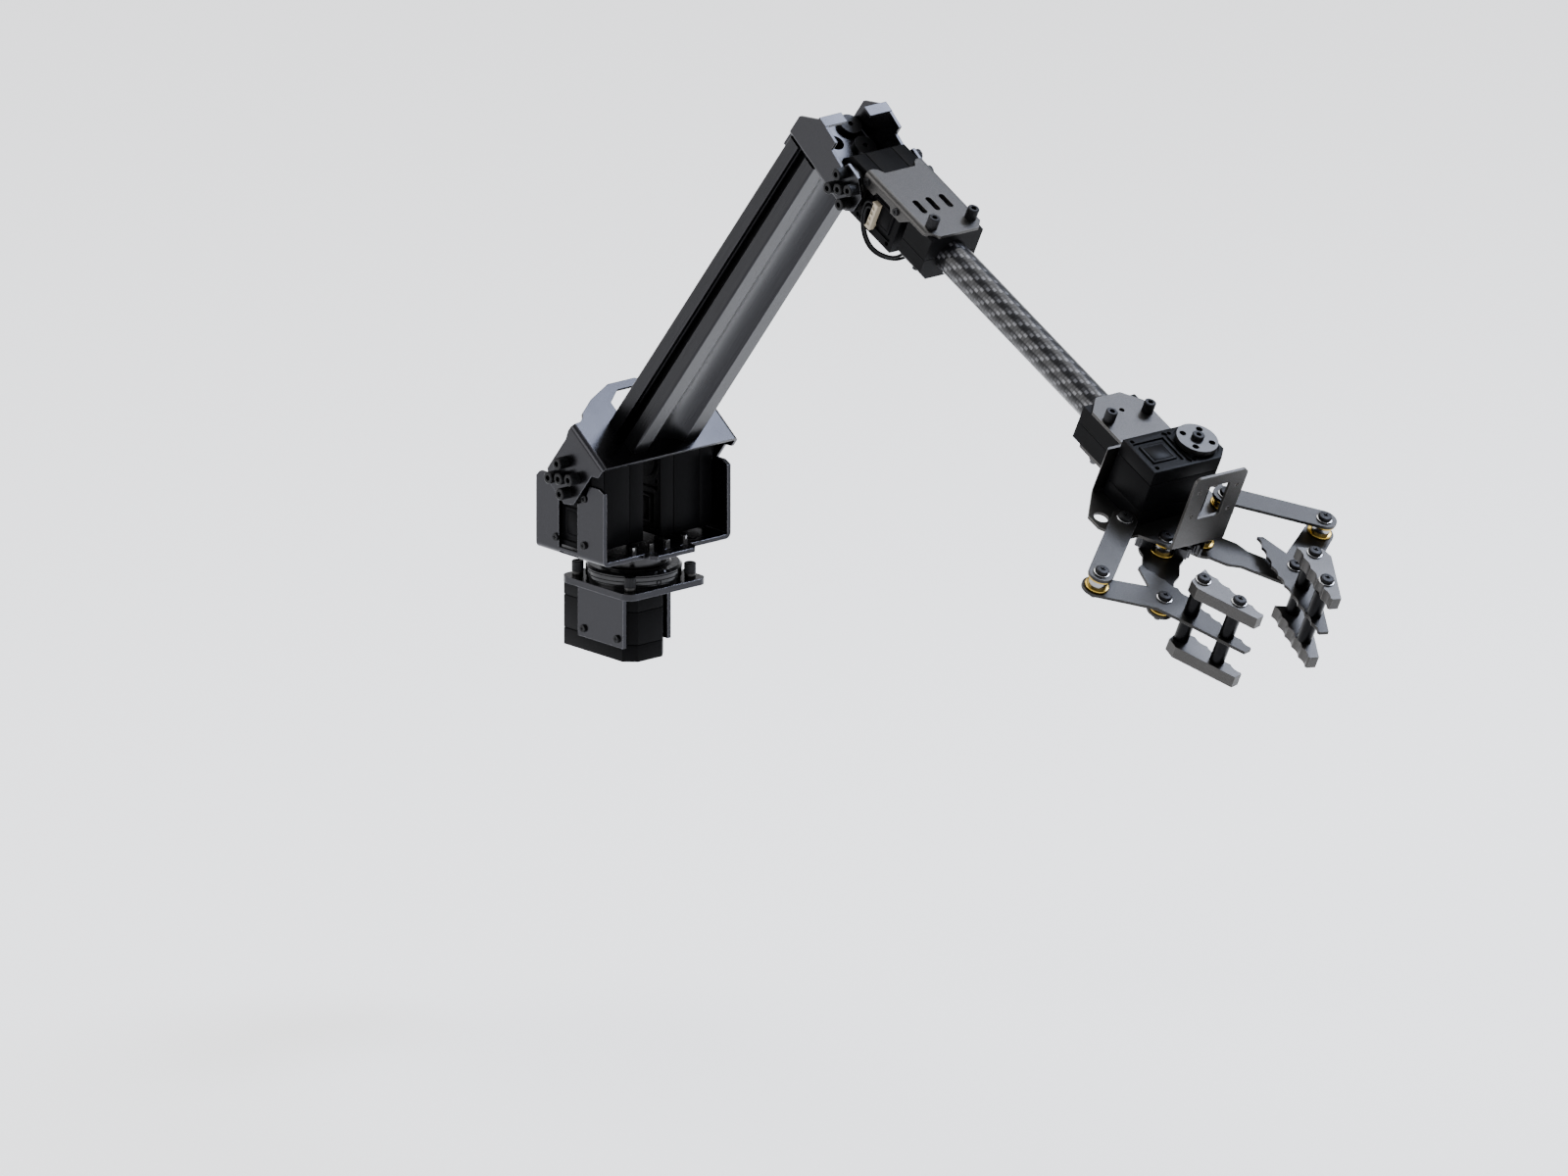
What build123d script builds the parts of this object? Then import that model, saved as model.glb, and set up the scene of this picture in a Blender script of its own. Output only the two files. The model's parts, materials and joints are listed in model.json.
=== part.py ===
from build123d import *
from math import acos, asin, cos, pi, radians, sin, tan
import os

os.makedirs("parts", exist_ok=True)

# Arm layout, in millimetres and degrees, with the deck it bolts to at height zero
shoulder_height = 54.0
upper_pitch = 52.3
upper_length = 236.8
elbow_drop = 30.0
forearm_drop = 26.5

# Sheet metal
sheet = 1.5
turret_sheet = 2.0
bend = 1.0

# Metric screws with a 3 mm thread
screw_radius = 1.5
screw_hole = 1.6
head_radius = 2.75
head_height = 4.8
socket_radius = 1.44
socket_depth = 2.0
pan_head_radius = 3.0
pan_head_height = 1.8
nut_radius = 3.1
nut_height = 2.4
small_radius = 1.0
small_hole = 1.1
small_head_radius = 1.9
small_head_height = 1.1
small_reach = 1.4
running = 0.08
sliding = 0.05

# Servos
servo_length = 45.2
servo_thick = 24.7
servo_width = 31.0
servo_inset = 11.2
servo_corner = 5.0
seam_depth = 0.3
seam_width = 0.4
servo_edge = 1.0
servo_screw_near = 8.5
servo_screw_far = 30.5
servo_screw_side = 9.6
horn_radius = 10.0
horn_reach = 3.0
horn_gap = 0.3
horn_circle = 7.0
shaft_radius = 3.0
shaft_depth = 2.0

# Deck flange, slewing ring and turret
flange_size = 48.0
flange_sheet = 3.0
flange_corner = 5.0
deck_pitch = 36.0
leg_sheet = 2.0
leg_drop = 27.0
leg_front = 9.0
leg_rear = 22.0
ring_radius = 22.0
ring_height = 7.0
race_radius = ring_radius - 5.0
neck_radius = race_radius - 2.0
hub_bore = 4.0
hub_circle = neck_radius - 3.5
under_servo = 2.5
turret_floor = shoulder_height - servo_length + servo_inset - under_servo - turret_sheet
turret_front = 22.9
turret_rear = 23.5
tab_top = shoulder_height - 2.0
tab_gap_front = 5.0
tab_gap_rear = 8.0
tab_clearance = 13.0
tongue_reach = 6.5
tongue_half = 14.0
tongue_pitch = 9.2
pillar_radius = 1.5
pillar_along = 17.2
pillar_sides = (4.9, 15.4)
servo_spread = 20.7

# Shoulder hood, upper arm extrusion and elbow bracket, measured along the upper arm
hood_rest = 22.8
hood_front = 14.8
hood_rear = 12.5
hood_lobe = 29.0
hood_cheek = 11.2
hood_foot = 11.0
extrusion_depth = 20.0
extrusion_width = 40.0
extrusion_end = upper_length - 10.8
channel_width = 22.0
channel_depth = 4.5
slot_opening = 6.2
slot_depth = 6.0
slot_inside = 11.0
elbow_cheek_end = upper_length + 12.2
elbow_ear = 10.3
elbow_back_flange = 7.0
big_head_radius = 5.5
big_head_height = 2.6
big_screw_side = 12.0
big_screw_height = 6.5

# Forearm, measured from the elbow axis
bracket_start = 5.6
bracket_end = 55.5
flange_end = 36.0
flange_depth = 7.4
tube_radius = 8.0
tube_wall = 1.2
tube_start = 36.5
clamp_start = 38.0
clamp_end = 55.0
clamp_drop = 12.0
clamp_split = 0.3
clamp_screw_along = 48.5
clamp_screw_side = 11.75
wrist_start = 173.0
wrist_end = 201.5
wrist_half = 8.8
wrist_plate_start = 171.0
wrist_side = 15.3
wrist_screw_along = 186.5
wrist_screw_side = 11.5
wrist_corner = 8.0

# Gripper frame
frame_top = -13.0
frame_back_top = 11.0
frame_back_side = 25.0
camera_front = 251.5
camera_top = 28.0
camera_side = 15.5
camera_height = 12.5
camera_window = (13.0, 19.0)
camera_holes = (22.0, 14.0)
camera_hole = 1.1
gripper_axis = (219.4, 12.0)

# Gear train and linkage of the gripper, as places along and beside the forearm
gear_module = 1.0
gear_teeth = 24
gear_thick = 5.0
gear_backlash = 0.15
crank_pivot = (243.4, 12.0)
crank_end = (277.5, 39.3)
link_pivot = (231.6, 30.4)
link_end = (260.5, 66.9)
link_lift = 4.7
link_half = 6.0
link_play = 0.6
finger_drop = 0.3
bush_radius = 5.3
crank_half = 8.8
crank_tip_half = 6.2
jaw_start = (290.2, 33.4)
jaw_angle = 21.5
jaw_pitch = 19.7
jaw_thick = 6.0
jaw_gap = 13.5
column_radius = 3.5
tooth_depth = 0.9

# Cable at the elbow
wire_radius = 0.7

# Planes: the turret stands on the deck, the other frames run along the arm with height square to them
turret = Plane.XY
arm = Plane(
    origin=(0, 0, shoulder_height),
    x_dir=(cos(radians(upper_pitch)), 0, sin(radians(upper_pitch))),
    z_dir=(-sin(radians(upper_pitch)), 0, cos(radians(upper_pitch))),
)
fore = Plane(
    origin=arm.from_local_coords((upper_length, 0, -elbow_drop)),
    x_dir=(cos(radians(forearm_drop)), 0, -sin(radians(forearm_drop))),
    z_dir=(sin(radians(forearm_drop)), 0, cos(radians(forearm_drop))),
)


def above(frame, height):
    """Plane parallel to a frame, sketched as (along, side), facing up."""
    return Plane(frame.from_local_coords((0, 0, height)), x_dir=frame.x_dir, z_dir=frame.z_dir)


def under(frame, height):
    """Plane parallel to a frame, sketched as (side, along), facing down."""
    return Plane(frame.from_local_coords((0, 0, height)), x_dir=frame.y_dir, z_dir=-frame.z_dir)


def ahead(frame, along):
    """Plane across a frame, sketched as (side, height), facing forward."""
    return Plane(frame.from_local_coords((along, 0, 0)), x_dir=frame.y_dir, z_dir=frame.x_dir)


def beside(frame, side):
    """Plane on a frame's side, sketched as (along, height), facing the right side."""
    return Plane(frame.from_local_coords((0, side, 0)), x_dir=frame.x_dir, z_dir=-frame.y_dir)


def across(frame, side):
    """Plane on a frame's side, sketched as (height, along), facing the left side."""
    return Plane(frame.from_local_coords((0, side, 0)), x_dir=frame.z_dir, z_dir=frame.y_dir)


def save(piece, name):
    """Label a finished piece and write it under its name."""
    piece.part.label = name
    export_step(piece.part, f"parts/{name}.step")


def channel(half, web, tip, thick, centre=0.0):
    """Section of a sheet folded twice, with its outer web face at web and its flanges up to tip."""
    step = thick if tip > web else -thick
    low, high = centre - half, centre + half
    with BuildLine(Plane.XY) as section:
        outer = FilletPolyline((low, tip), (low, web), (high, web), (high, tip), radius=bend + thick)
        inner = FilletPolyline(
            (low + thick, tip),
            (low + thick, web + step),
            (high - thick, web + step),
            (high - thick, tip),
            radius=bend,
        )
        Line(outer @ 0, inner @ 0)
        Line(outer @ 1, inner @ 1)
    make_face(section.edges())


def both_sides(points):
    """Outline that is closed by its own mirror image across the frame's middle."""
    return points + [(along, -side) for along, side in reversed(points)]


def horn_spots(turn=45.0):
    """The four screw places on a servo horn, and its middle."""
    ring = [
        (horn_circle * cos(radians(turn + 90 * k)), horn_circle * sin(radians(turn + 90 * k)))
        for k in range(4)
    ]
    return ring + [(0, 0)]


def servo_spots():
    """The four small screw holes in each horn face of a servo, from its horn axis."""
    return [(x, side * servo_screw_side) for x in (servo_screw_near, servo_screw_far) for side in (-1, 1)]


def servo_outline(inset=0.0):
    """Outline of a servo case round its horn axis, with the horn end's corners cut."""
    half = servo_thick / 2 - inset
    rear = -servo_inset + inset
    front = servo_length - servo_inset - inset
    Polygon(
        (rear, -half + servo_corner),
        (rear + servo_corner, -half),
        (front, -half),
        (front, half),
        (rear + servo_corner, half),
        (rear, half - servo_corner),
        align=None,
    )


def servo_case(frame):
    """Servo case whose horn axis is the frame's height, centred between its two horn faces."""
    face = servo_width / 2
    panel_length = 15.0
    panel_width = 13.0
    panel_depth = 0.6
    panel_frame = 1.6
    with BuildPart() as case:
        with BuildSketch(above(frame, -face)):
            servo_outline()
        extrude(amount=servo_width)
        rims = [edge for edge in case.edges() if abs(frame.to_local_coords(edge @ 0.5).Z) > face - 0.01]
        chamfer(rims, servo_edge)
        for height in (-face / 2, face / 2):
            with BuildSketch(above(frame, height)):
                servo_outline()
                with BuildSketch(mode=Mode.SUBTRACT):
                    servo_outline(seam_depth)
            extrude(amount=seam_width, mode=Mode.SUBTRACT)
        for plane in (above(frame, face), under(frame, -face)):
            with BuildSketch(plane):
                Circle(shaft_radius + running)
            extrude(amount=-shaft_depth - horn_gap, mode=Mode.SUBTRACT)
        with BuildSketch(above(frame, face)):
            with Locations((servo_length / 2, 0)):
                Rectangle(panel_length, panel_width)
                Rectangle(panel_length - 2 * panel_frame, panel_width - 2 * panel_frame, mode=Mode.SUBTRACT)
        extrude(amount=-panel_depth, mode=Mode.SUBTRACT)
        with BuildSketch(above(frame, face)):
            with Locations(*servo_spots()):
                Circle(small_hole)
        extrude(amount=-small_reach - 0.1, mode=Mode.SUBTRACT)
        with BuildSketch(under(frame, -face)):
            with Locations(*[(y, x) for x, y in servo_spots()]):
                Circle(small_hole)
        extrude(amount=-small_reach - 0.1, mode=Mode.SUBTRACT)
    return case


def horns(*faces):
    """Servo horns, one for each plane that lies on a case's horn face and looks outwards."""
    with BuildPart() as discs:
        for face in faces:
            with BuildSketch(face.offset(horn_gap)):
                Circle(horn_radius)
            extrude(amount=horn_reach - horn_gap)
            with BuildSketch(face.offset(horn_gap)):
                Circle(shaft_radius)
            extrude(amount=-shaft_depth)
            with BuildSketch(face.offset(horn_reach)):
                with Locations(*horn_spots()):
                    Circle(screw_hole)
            extrude(amount=-horn_reach - shaft_depth, mode=Mode.SUBTRACT)
    return discs


def cap_screws(*groups):
    """Socket cap screws, each group as the plane they seat on, their places and their reach below it."""
    with BuildPart() as screws:
        for plane, spots, reach in groups:
            with BuildSketch(plane):
                with Locations(*spots):
                    Circle(head_radius)
            extrude(amount=head_height)
            with BuildSketch(plane.offset(head_height)):
                with Locations(*spots):
                    RegularPolygon(socket_radius, 6)
            extrude(amount=-socket_depth, mode=Mode.SUBTRACT)
            with BuildSketch(plane):
                with Locations(*spots):
                    Circle(screw_radius)
            extrude(amount=-reach)
    return screws


def small_screws(*groups):
    """Two millimetre pan screws into a servo, each group as the plane they seat on, their places and depth."""
    slot = 0.5
    with BuildPart() as screws:
        for plane, spots, depth in groups:
            with BuildSketch(plane):
                with Locations(*spots):
                    Circle(small_head_radius)
            extrude(amount=small_head_height, taper=10)
            with BuildSketch(plane.offset(small_head_height)):
                with Locations(*spots):
                    Rectangle(2.0, slot)
                    Rectangle(slot, 2.0)
            extrude(amount=-slot, mode=Mode.SUBTRACT)
            with BuildSketch(plane):
                with Locations(*spots):
                    Circle(small_radius)
            extrude(amount=-depth - small_reach)
    return screws


def pan_screws(*groups):
    """Cross-head pan screws, in groups as the cap screws are."""
    cross_length = 3.0
    cross_width = 0.7
    cross_depth = 0.9
    with BuildPart() as screws:
        for plane, spots, reach in groups:
            with BuildSketch(plane):
                with Locations(*spots):
                    Circle(pan_head_radius)
            extrude(amount=pan_head_height, taper=12)
            with BuildSketch(plane.offset(pan_head_height)):
                with Locations(*spots):
                    Rectangle(cross_length, cross_width)
                    Rectangle(cross_width, cross_length)
            extrude(amount=-cross_depth, mode=Mode.SUBTRACT)
            with BuildSketch(plane):
                with Locations(*spots):
                    Circle(screw_radius)
            extrude(amount=-reach)
    return screws


def sleeves(radius, *groups):
    """Plain rings round the screws, each group as the plane of their foot, their places and their height."""
    with BuildPart() as rings:
        for plane, spots, height in groups:
            with BuildSketch(plane):
                with Locations(*spots):
                    Circle(radius)
                    Circle(screw_hole, mode=Mode.SUBTRACT)
            extrude(amount=height)
    return rings


def nuts(*groups):
    """Hexagon nuts, each group as the plane that they bear on and their places."""
    with BuildPart() as hexes:
        for plane, spots in groups:
            with BuildSketch(plane):
                with Locations(*spots):
                    RegularPolygon(nut_radius, 6)
                    Circle(screw_hole, mode=Mode.SUBTRACT)
            extrude(amount=nut_height)
    return hexes


# Deck flange with two legs that hold the pan servo below it
pan_face = -flange_sheet - horn_reach
with BuildPart() as pan_bracket:
    with BuildSketch(above(turret, -flange_sheet)):
        RectangleRounded(flange_size, flange_size, flange_corner)
        Circle(horn_radius + 1.0, mode=Mode.SUBTRACT)
        with GridLocations(deck_pitch, deck_pitch, 2, 2):
            Circle(screw_hole, mode=Mode.SUBTRACT)
    extrude(amount=flange_sheet)
    with BuildSketch(above(turret, -flange_sheet)):
        for side in (-1, 1):
            with Locations(((leg_front - leg_rear) / 2, side * (servo_thick + leg_sheet) / 2)):
                Rectangle(leg_front + leg_rear, leg_sheet)
    extrude(amount=-leg_drop)
    leg_spots = [(-leg_rear + 4.0, -flange_sheet - leg_drop + 4.0), (leg_front - 4.0, -flange_sheet - leg_drop + 4.0)]
    with BuildSketch(beside(turret, servo_thick)):
        with Locations(*leg_spots):
            Circle(small_hole)
    extrude(amount=2 * servo_thick, mode=Mode.SUBTRACT)
save(pan_bracket, "pan_bracket")

pan_frame = Plane(origin=(0, 0, pan_face - servo_width / 2), x_dir=(-1, 0, 0), z_dir=(0, 0, 1))
pan_side_right = Plane(origin=(0, -servo_thick / 2, 0), x_dir=(1, 0, 0), z_dir=(0, -1, 0))
pan_side_left = Plane(origin=(0, servo_thick / 2, 0), x_dir=(1, 0, 0), z_dir=(0, 1, 0))
pan_sides = ((pan_side_right, leg_spots), (pan_side_left, [(x, -z) for x, z in leg_spots]))
with BuildPart() as pan_servo:
    add(servo_case(pan_frame).part)
    for plane, spots in pan_sides:
        with BuildSketch(plane):
            with Locations(*spots):
                Circle(small_hole)
        extrude(amount=-small_reach - 0.1, mode=Mode.SUBTRACT)
save(pan_servo, "pan_servo")
pan_servo_screws = small_screws(*[(plane.offset(leg_sheet), spots, leg_sheet) for plane, spots in pan_sides])
save(pan_servo_screws, "pan_servo_screws")

# Slewing ring: a fixed grooved housing round a turning hub
groove = 0.4
ring_chamfer = 1.2
lower_groove = 0.45 * ring_height
upper_groove = 0.74 * ring_height
with BuildPart() as ring_housing:
    with BuildSketch(Plane.XZ):
        with BuildLine():
            Polyline(
                (race_radius + running, 0),
                (ring_radius - groove, 0),
                (ring_radius - groove, 3 * groove),
                (ring_radius, 4 * groove),
                (ring_radius, lower_groove - groove / 2),
                (ring_radius - groove, lower_groove),
                (ring_radius, lower_groove + groove / 2),
                (ring_radius, upper_groove - groove / 2),
                (ring_radius - groove, upper_groove),
                (ring_radius, upper_groove + groove / 2),
                (ring_radius, ring_height - ring_chamfer),
                (ring_radius - ring_chamfer, ring_height),
                (race_radius + running, ring_height),
                close=True,
            )
        make_face()
    revolve(axis=Axis.Z)
save(ring_housing, "ring_housing")

with BuildPart() as ring_hub:
    with BuildSketch(Plane.XZ):
        with BuildLine():
            Polyline(
                (hub_bore, -flange_sheet),
                (horn_radius, -flange_sheet),
                (horn_radius, 0.3),
                (race_radius, 0.3),
                (race_radius, ring_height + 0.3),
                (race_radius - 1.0, ring_height + 1.0),
                (neck_radius, ring_height + 1.0),
                (neck_radius, turret_floor),
                (hub_bore, turret_floor),
                close=True,
            )
        make_face()
    revolve(axis=Axis.Z)
    with BuildSketch(above(turret, -flange_sheet)):
        with Locations(*horn_spots()[:4]):
            Circle(screw_hole)
    extrude(amount=8.0, mode=Mode.SUBTRACT)
    with BuildSketch(above(turret, turret_floor)):
        with PolarLocations(hub_circle, 4, start_angle=45):
            Circle(screw_hole)
    extrude(amount=-6.0, mode=Mode.SUBTRACT)
save(ring_hub, "ring_hub")

pan_horn = horns(above(turret, pan_face))
save(pan_horn, "pan_horn")

# Turret bracket: a channel with two tabs on each side, cut clear of the shoulder screws
turret_half = servo_spread + servo_width / 2 + turret_sheet
tab_screw_height = shoulder_height - servo_screw_far
tab_spots = [(-servo_screw_side, tab_screw_height), (servo_screw_side, tab_screw_height)]
tongue_spots = [(turret_front + 1.0, tongue_pitch * k) for k in (-1, 0, 1)]
with BuildPart() as turret_bracket:
    with BuildSketch(ahead(turret, -turret_rear)):
        channel(turret_half, turret_floor, tab_top, turret_sheet)
    extrude(amount=turret_rear + turret_front)
    with BuildSketch(above(turret, turret_floor)):
        Polygon(
            (turret_front - 1.0, -tongue_half),
            (turret_front + tongue_reach - 3.0, -tongue_half),
            (turret_front + tongue_reach, -tongue_half + 3.0),
            (turret_front + tongue_reach, tongue_half - 3.0),
            (turret_front + tongue_reach - 3.0, tongue_half),
            (turret_front - 1.0, tongue_half),
            align=None,
        )
    extrude(amount=turret_sheet)
    with BuildSketch(beside(turret, turret_half + 1.0)):
        with Locations(((tab_gap_front - tab_gap_rear) / 2, (turret_floor + turret_sheet + tab_top) / 2 + 1.5)):
            Rectangle(tab_gap_front + tab_gap_rear, tab_top - turret_floor - turret_sheet)
        with Locations((0, shoulder_height)):
            Circle(tab_clearance)
        Polygon(
            (-turret_rear - 1.0, tab_top - 3.3),
            (-turret_rear - 1.0, tab_top + 1.0),
            (-turret_rear + 3.3, tab_top + 1.0),
            align=None,
        )
        Polygon(
            (turret_front + 1.0, tab_top - 2.2),
            (turret_front - 3.5, tab_top),
            (turret_front - 3.5, tab_top + 1.0),
            (turret_front + 1.0, tab_top + 1.0),
            align=None,
        )
        with Locations(*tab_spots):
            Circle(small_hole)
    extrude(amount=2 * turret_half + 2.0, mode=Mode.SUBTRACT)
    with BuildSketch(above(turret, turret_floor)):
        for side in (-1, 1):
            with Locations(((tab_gap_front - tab_gap_rear) / 2, side * turret_half)):
                Rectangle(tab_gap_front + tab_gap_rear, 2 * turret_sheet)
        Circle(hub_bore)
        with PolarLocations(hub_circle, 4, start_angle=45):
            Circle(screw_hole)
        with Locations(*tongue_spots):
            Circle(screw_hole)
    extrude(amount=turret_sheet, mode=Mode.SUBTRACT)
save(turret_bracket, "turret_bracket")

right_tab = Plane(origin=(0, -turret_half, 0), x_dir=(1, 0, 0), z_dir=(0, -1, 0))
left_tab = Plane(origin=(0, turret_half, 0), x_dir=(1, 0, 0), z_dir=(0, 1, 0))
turret_tab_screws = small_screws(
    (right_tab, tab_spots, turret_sheet),
    (left_tab, [(x, -z) for x, z in tab_spots], turret_sheet),
)
save(turret_tab_screws, "turret_tab_screws")

with BuildPart() as turret_pillars:
    with BuildSketch(above(turret, turret_floor + turret_sheet)):
        with Locations(*[(pillar_along, hand * side) for side in pillar_sides for hand in (-1, 1)]):
            Circle(pillar_radius)
    extrude(amount=under_servo)
save(turret_pillars, "turret_pillars")

hub_head_height = 1.2
with BuildPart() as hub_screws:
    with BuildSketch(above(turret, turret_floor + turret_sheet)):
        with PolarLocations(hub_circle, 4, start_angle=45):
            Circle(head_radius)
    extrude(amount=hub_head_height)
    with BuildSketch(above(turret, turret_floor + turret_sheet)):
        with PolarLocations(hub_circle, 4, start_angle=45):
            Circle(screw_radius)
    extrude(amount=-turret_sheet - 5.0)
save(hub_screws, "hub_screws")

# Two shoulder servos hang from the shoulder axis, back to back
for name, side in (("right_shoulder_servo", -1), ("left_shoulder_servo", 1)):
    shoulder_frame = Plane(
        origin=(0, side * servo_spread, shoulder_height), x_dir=(0, 0, -1), z_dir=(0, side, 0)
    )
    shoulder_servo = servo_case(shoulder_frame)
    save(shoulder_servo, name)

shoulder_face = servo_spread + servo_width / 2
shoulder_planes = [
    Plane(arm.from_local_coords((0, side * shoulder_face, 0)), x_dir=arm.x_dir, z_dir=(0, side, 0))
    for side in (-1, 1)
]
shoulder_horns = horns(*shoulder_planes)
save(shoulder_horns, "shoulder_horns")

# Shoulder hood: two cheeks on the horns and a top plate that the extrusion stands on
hood_half = shoulder_face + horn_reach + sheet
hood_under = hood_rest - sheet
with BuildPart() as shoulder_hood:
    with BuildSketch(under(arm, hood_lobe)):
        channel(hood_half, hood_rest, -hood_foot, sheet)
    extrude(amount=hood_lobe + hood_front)
    with BuildSketch(beside(arm, hood_half + 1.0)):
        Polygon(
            (-hood_foot, -hood_cheek + 4.5),
            (-hood_foot + 4.5, -hood_cheek),
            (14.0, -hood_cheek),
            (17.0, -hood_front),
            (hood_rest, -hood_front),
            (hood_rest, hood_lobe),
            (hood_under - 0.5, hood_lobe),
            (hood_under - 0.5, hood_rear + 1.0),
            (hood_under - 3.0, hood_rear),
            (14.0, hood_cheek),
            (-hood_foot + 4.5, hood_cheek),
            (-hood_foot, hood_cheek - 4.5),
            align=None,
        )
    extrude(amount=2 * hood_half + 2.0, mode=Mode.INTERSECT)
    with BuildSketch(ahead(arm, -hood_foot - 1.0)):
        Polygon(
            (-hood_half, -hood_front),
            (hood_half, -hood_front),
            (hood_half, hood_rear),
            (35.5, hood_rear + 0.4),
            (32.3, 15.0),
            (31.0, 17.3),
            (22.2, 23.1),
            (8.0, hood_lobe),
            (-8.0, hood_lobe),
            (-22.2, 23.1),
            (-31.0, 17.3),
            (-32.3, 15.0),
            (-35.5, hood_rear + 0.4),
            (-hood_half, hood_rear),
            align=None,
        )
    extrude(amount=hood_foot + hood_rest + 2.0, mode=Mode.INTERSECT)
    with BuildSketch(ahead(arm, hood_under - 1.0)):
        Polygon((-12.7, 12.0), (12.7, 12.0), (12.7, 19.0), (4.7, 25.0), (-4.7, 25.0), (-12.7, 19.0), align=None)
        with GridLocations(2 * big_screw_side, 2 * big_screw_height, 2, 2):
            Circle(screw_hole)
    extrude(amount=sheet + 2.0, mode=Mode.SUBTRACT)
    with BuildSketch(beside(arm, hood_half + 1.0)):
        with Locations(*horn_spots()):
            Circle(screw_hole)
    extrude(amount=2 * hood_half + 2.0, mode=Mode.SUBTRACT)
save(shoulder_hood, "shoulder_hood")

shoulder_screw_planes = [plane.offset(horn_reach + sheet) for plane in shoulder_planes]
shoulder_horn_screws = cap_screws(
    *[(plane, horn_spots(), sheet + horn_reach) for plane in shoulder_screw_planes]
)
save(shoulder_horn_screws, "shoulder_horn_screws")

# Upper arm extrusion: a T-slot in each narrow face and a rounded channel in each wide face
with BuildPart() as upper_arm_extrusion:
    with BuildSketch(ahead(arm, hood_rest)):
        RectangleRounded(extrusion_width, extrusion_depth, 1.0)
        for side in (-1, 1):
            with Locations((side * (extrusion_width - slot_depth) / 2, 0)):
                Rectangle(slot_depth, slot_opening, mode=Mode.SUBTRACT)
            with Locations((side * (extrusion_width / 2 - slot_depth + 1.8), 0)):
                RectangleRounded(3.6, slot_inside, 1.2, mode=Mode.SUBTRACT)
        swell = (channel_width**2 / 4 + channel_depth**2) / (2 * channel_depth)
        for side in (-1, 1):
            with Locations((0, side * (extrusion_depth / 2 - channel_depth + swell))):
                Circle(swell, mode=Mode.SUBTRACT)
        with GridLocations(2 * big_screw_side, 2 * big_screw_height, 2, 2):
            Circle(screw_hole, mode=Mode.SUBTRACT)
        SlotOverall(14.0, 6.0, mode=Mode.SUBTRACT)
    extrude(amount=extrusion_end - hood_rest)
save(upper_arm_extrusion, "upper_arm_extrusion")

# Elbow bracket: a base on the extrusion's end, a short back flange and two cheeks with ears
elbow_half = servo_width / 2 + horn_reach + sheet
axis_height = -elbow_drop
cheek_bottom = axis_height - elbow_ear
cheek_top = extrusion_depth / 2 + sheet
with BuildPart() as elbow_bracket:
    with BuildSketch(under(arm, cheek_top)):
        channel(elbow_half, extrusion_end, elbow_cheek_end, sheet)
    extrude(amount=cheek_top - cheek_bottom)
    with BuildSketch(ahead(arm, extrusion_end - elbow_back_flange)):
        with Locations((0, extrusion_depth / 2 + sheet / 2)):
            Rectangle(2 * elbow_half - 2 * bend, sheet)
    extrude(amount=elbow_back_flange + sheet)
    with BuildSketch(beside(arm, elbow_half + 1.0)):
        Polygon(
            (extrusion_end - elbow_back_flange, cheek_top),
            (upper_length + 1.8, cheek_top),
            (elbow_cheek_end, 0.3),
            (upper_length + 11.2, axis_height + 17.5),
            (upper_length + 6.5, axis_height + 17.4),
            (upper_length + 5.4, axis_height + 6.8),
            (upper_length + elbow_ear, axis_height + 5.7),
            (upper_length + elbow_ear, axis_height - 3.0),
            (upper_length + 4.6, cheek_bottom),
            (upper_length - 4.6, cheek_bottom),
            (upper_length - 8.8, axis_height - 6.5),
            (extrusion_end, axis_height - 3.0),
            (extrusion_end, -extrusion_depth / 2),
            (extrusion_end - elbow_back_flange, -extrusion_depth / 2),
            align=None,
        )
    extrude(amount=2 * elbow_half + 2.0, mode=Mode.INTERSECT)
    with BuildSketch(ahead(arm, extrusion_end - 1.0)):
        with Locations((0, -extrusion_depth / 2 + cheek_bottom / 2 - 1.0)):
            Rectangle(2 * (elbow_half - sheet), -cheek_bottom + 2.0)
        with GridLocations(2 * big_screw_side, 2 * big_screw_height, 2, 2):
            Circle(screw_hole)
        Circle(4.0)
    extrude(amount=sheet + bend + 1.0, mode=Mode.SUBTRACT)
    with BuildSketch(ahead(arm, elbow_cheek_end - sheet)):
        for side in (-1, 1):
            with Locations((side * (elbow_half - 6.5), -0.7)):
                Rectangle(13.0, 5.4)
    extrude(amount=sheet)
    with BuildSketch(beside(arm, elbow_half + 1.0)):
        with Locations(*[(upper_length + x, axis_height + y) for x, y in horn_spots()]):
            Circle(screw_hole)
    extrude(amount=2 * elbow_half + 2.0, mode=Mode.SUBTRACT)
save(elbow_bracket, "elbow_bracket")

with BuildPart() as extrusion_screws:
    for plane, reach in ((ahead(arm, extrusion_end + sheet), sheet + 12.0), (ahead(arm, hood_under), 0)):
        upward = 1 if reach else -1
        with BuildSketch(plane):
            with GridLocations(2 * big_screw_side, 2 * big_screw_height, 2, 2):
                Circle(big_head_radius if reach else head_radius)
        extrude(amount=upward * (big_head_height if reach else 2.0))
        with BuildSketch(plane):
            with GridLocations(2 * big_screw_side, 2 * big_screw_height, 2, 2):
                Circle(screw_radius)
        extrude(amount=-upward * (sheet + 12.0))
        with BuildSketch(plane.offset(upward * (big_head_height if reach else 2.0))):
            with GridLocations(2 * big_screw_side, 2 * big_screw_height, 2, 2):
                RegularPolygon(socket_radius, 6)
        extrude(amount=-upward * 1.4, mode=Mode.SUBTRACT)
save(extrusion_screws, "extrusion_screws")

elbow_planes = [
    Plane(fore.from_local_coords((0, side * servo_width / 2, 0)), x_dir=arm.x_dir, z_dir=(0, side, 0))
    for side in (-1, 1)
]
elbow_horns = horns(*elbow_planes)
save(elbow_horns, "elbow_horns")

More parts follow.
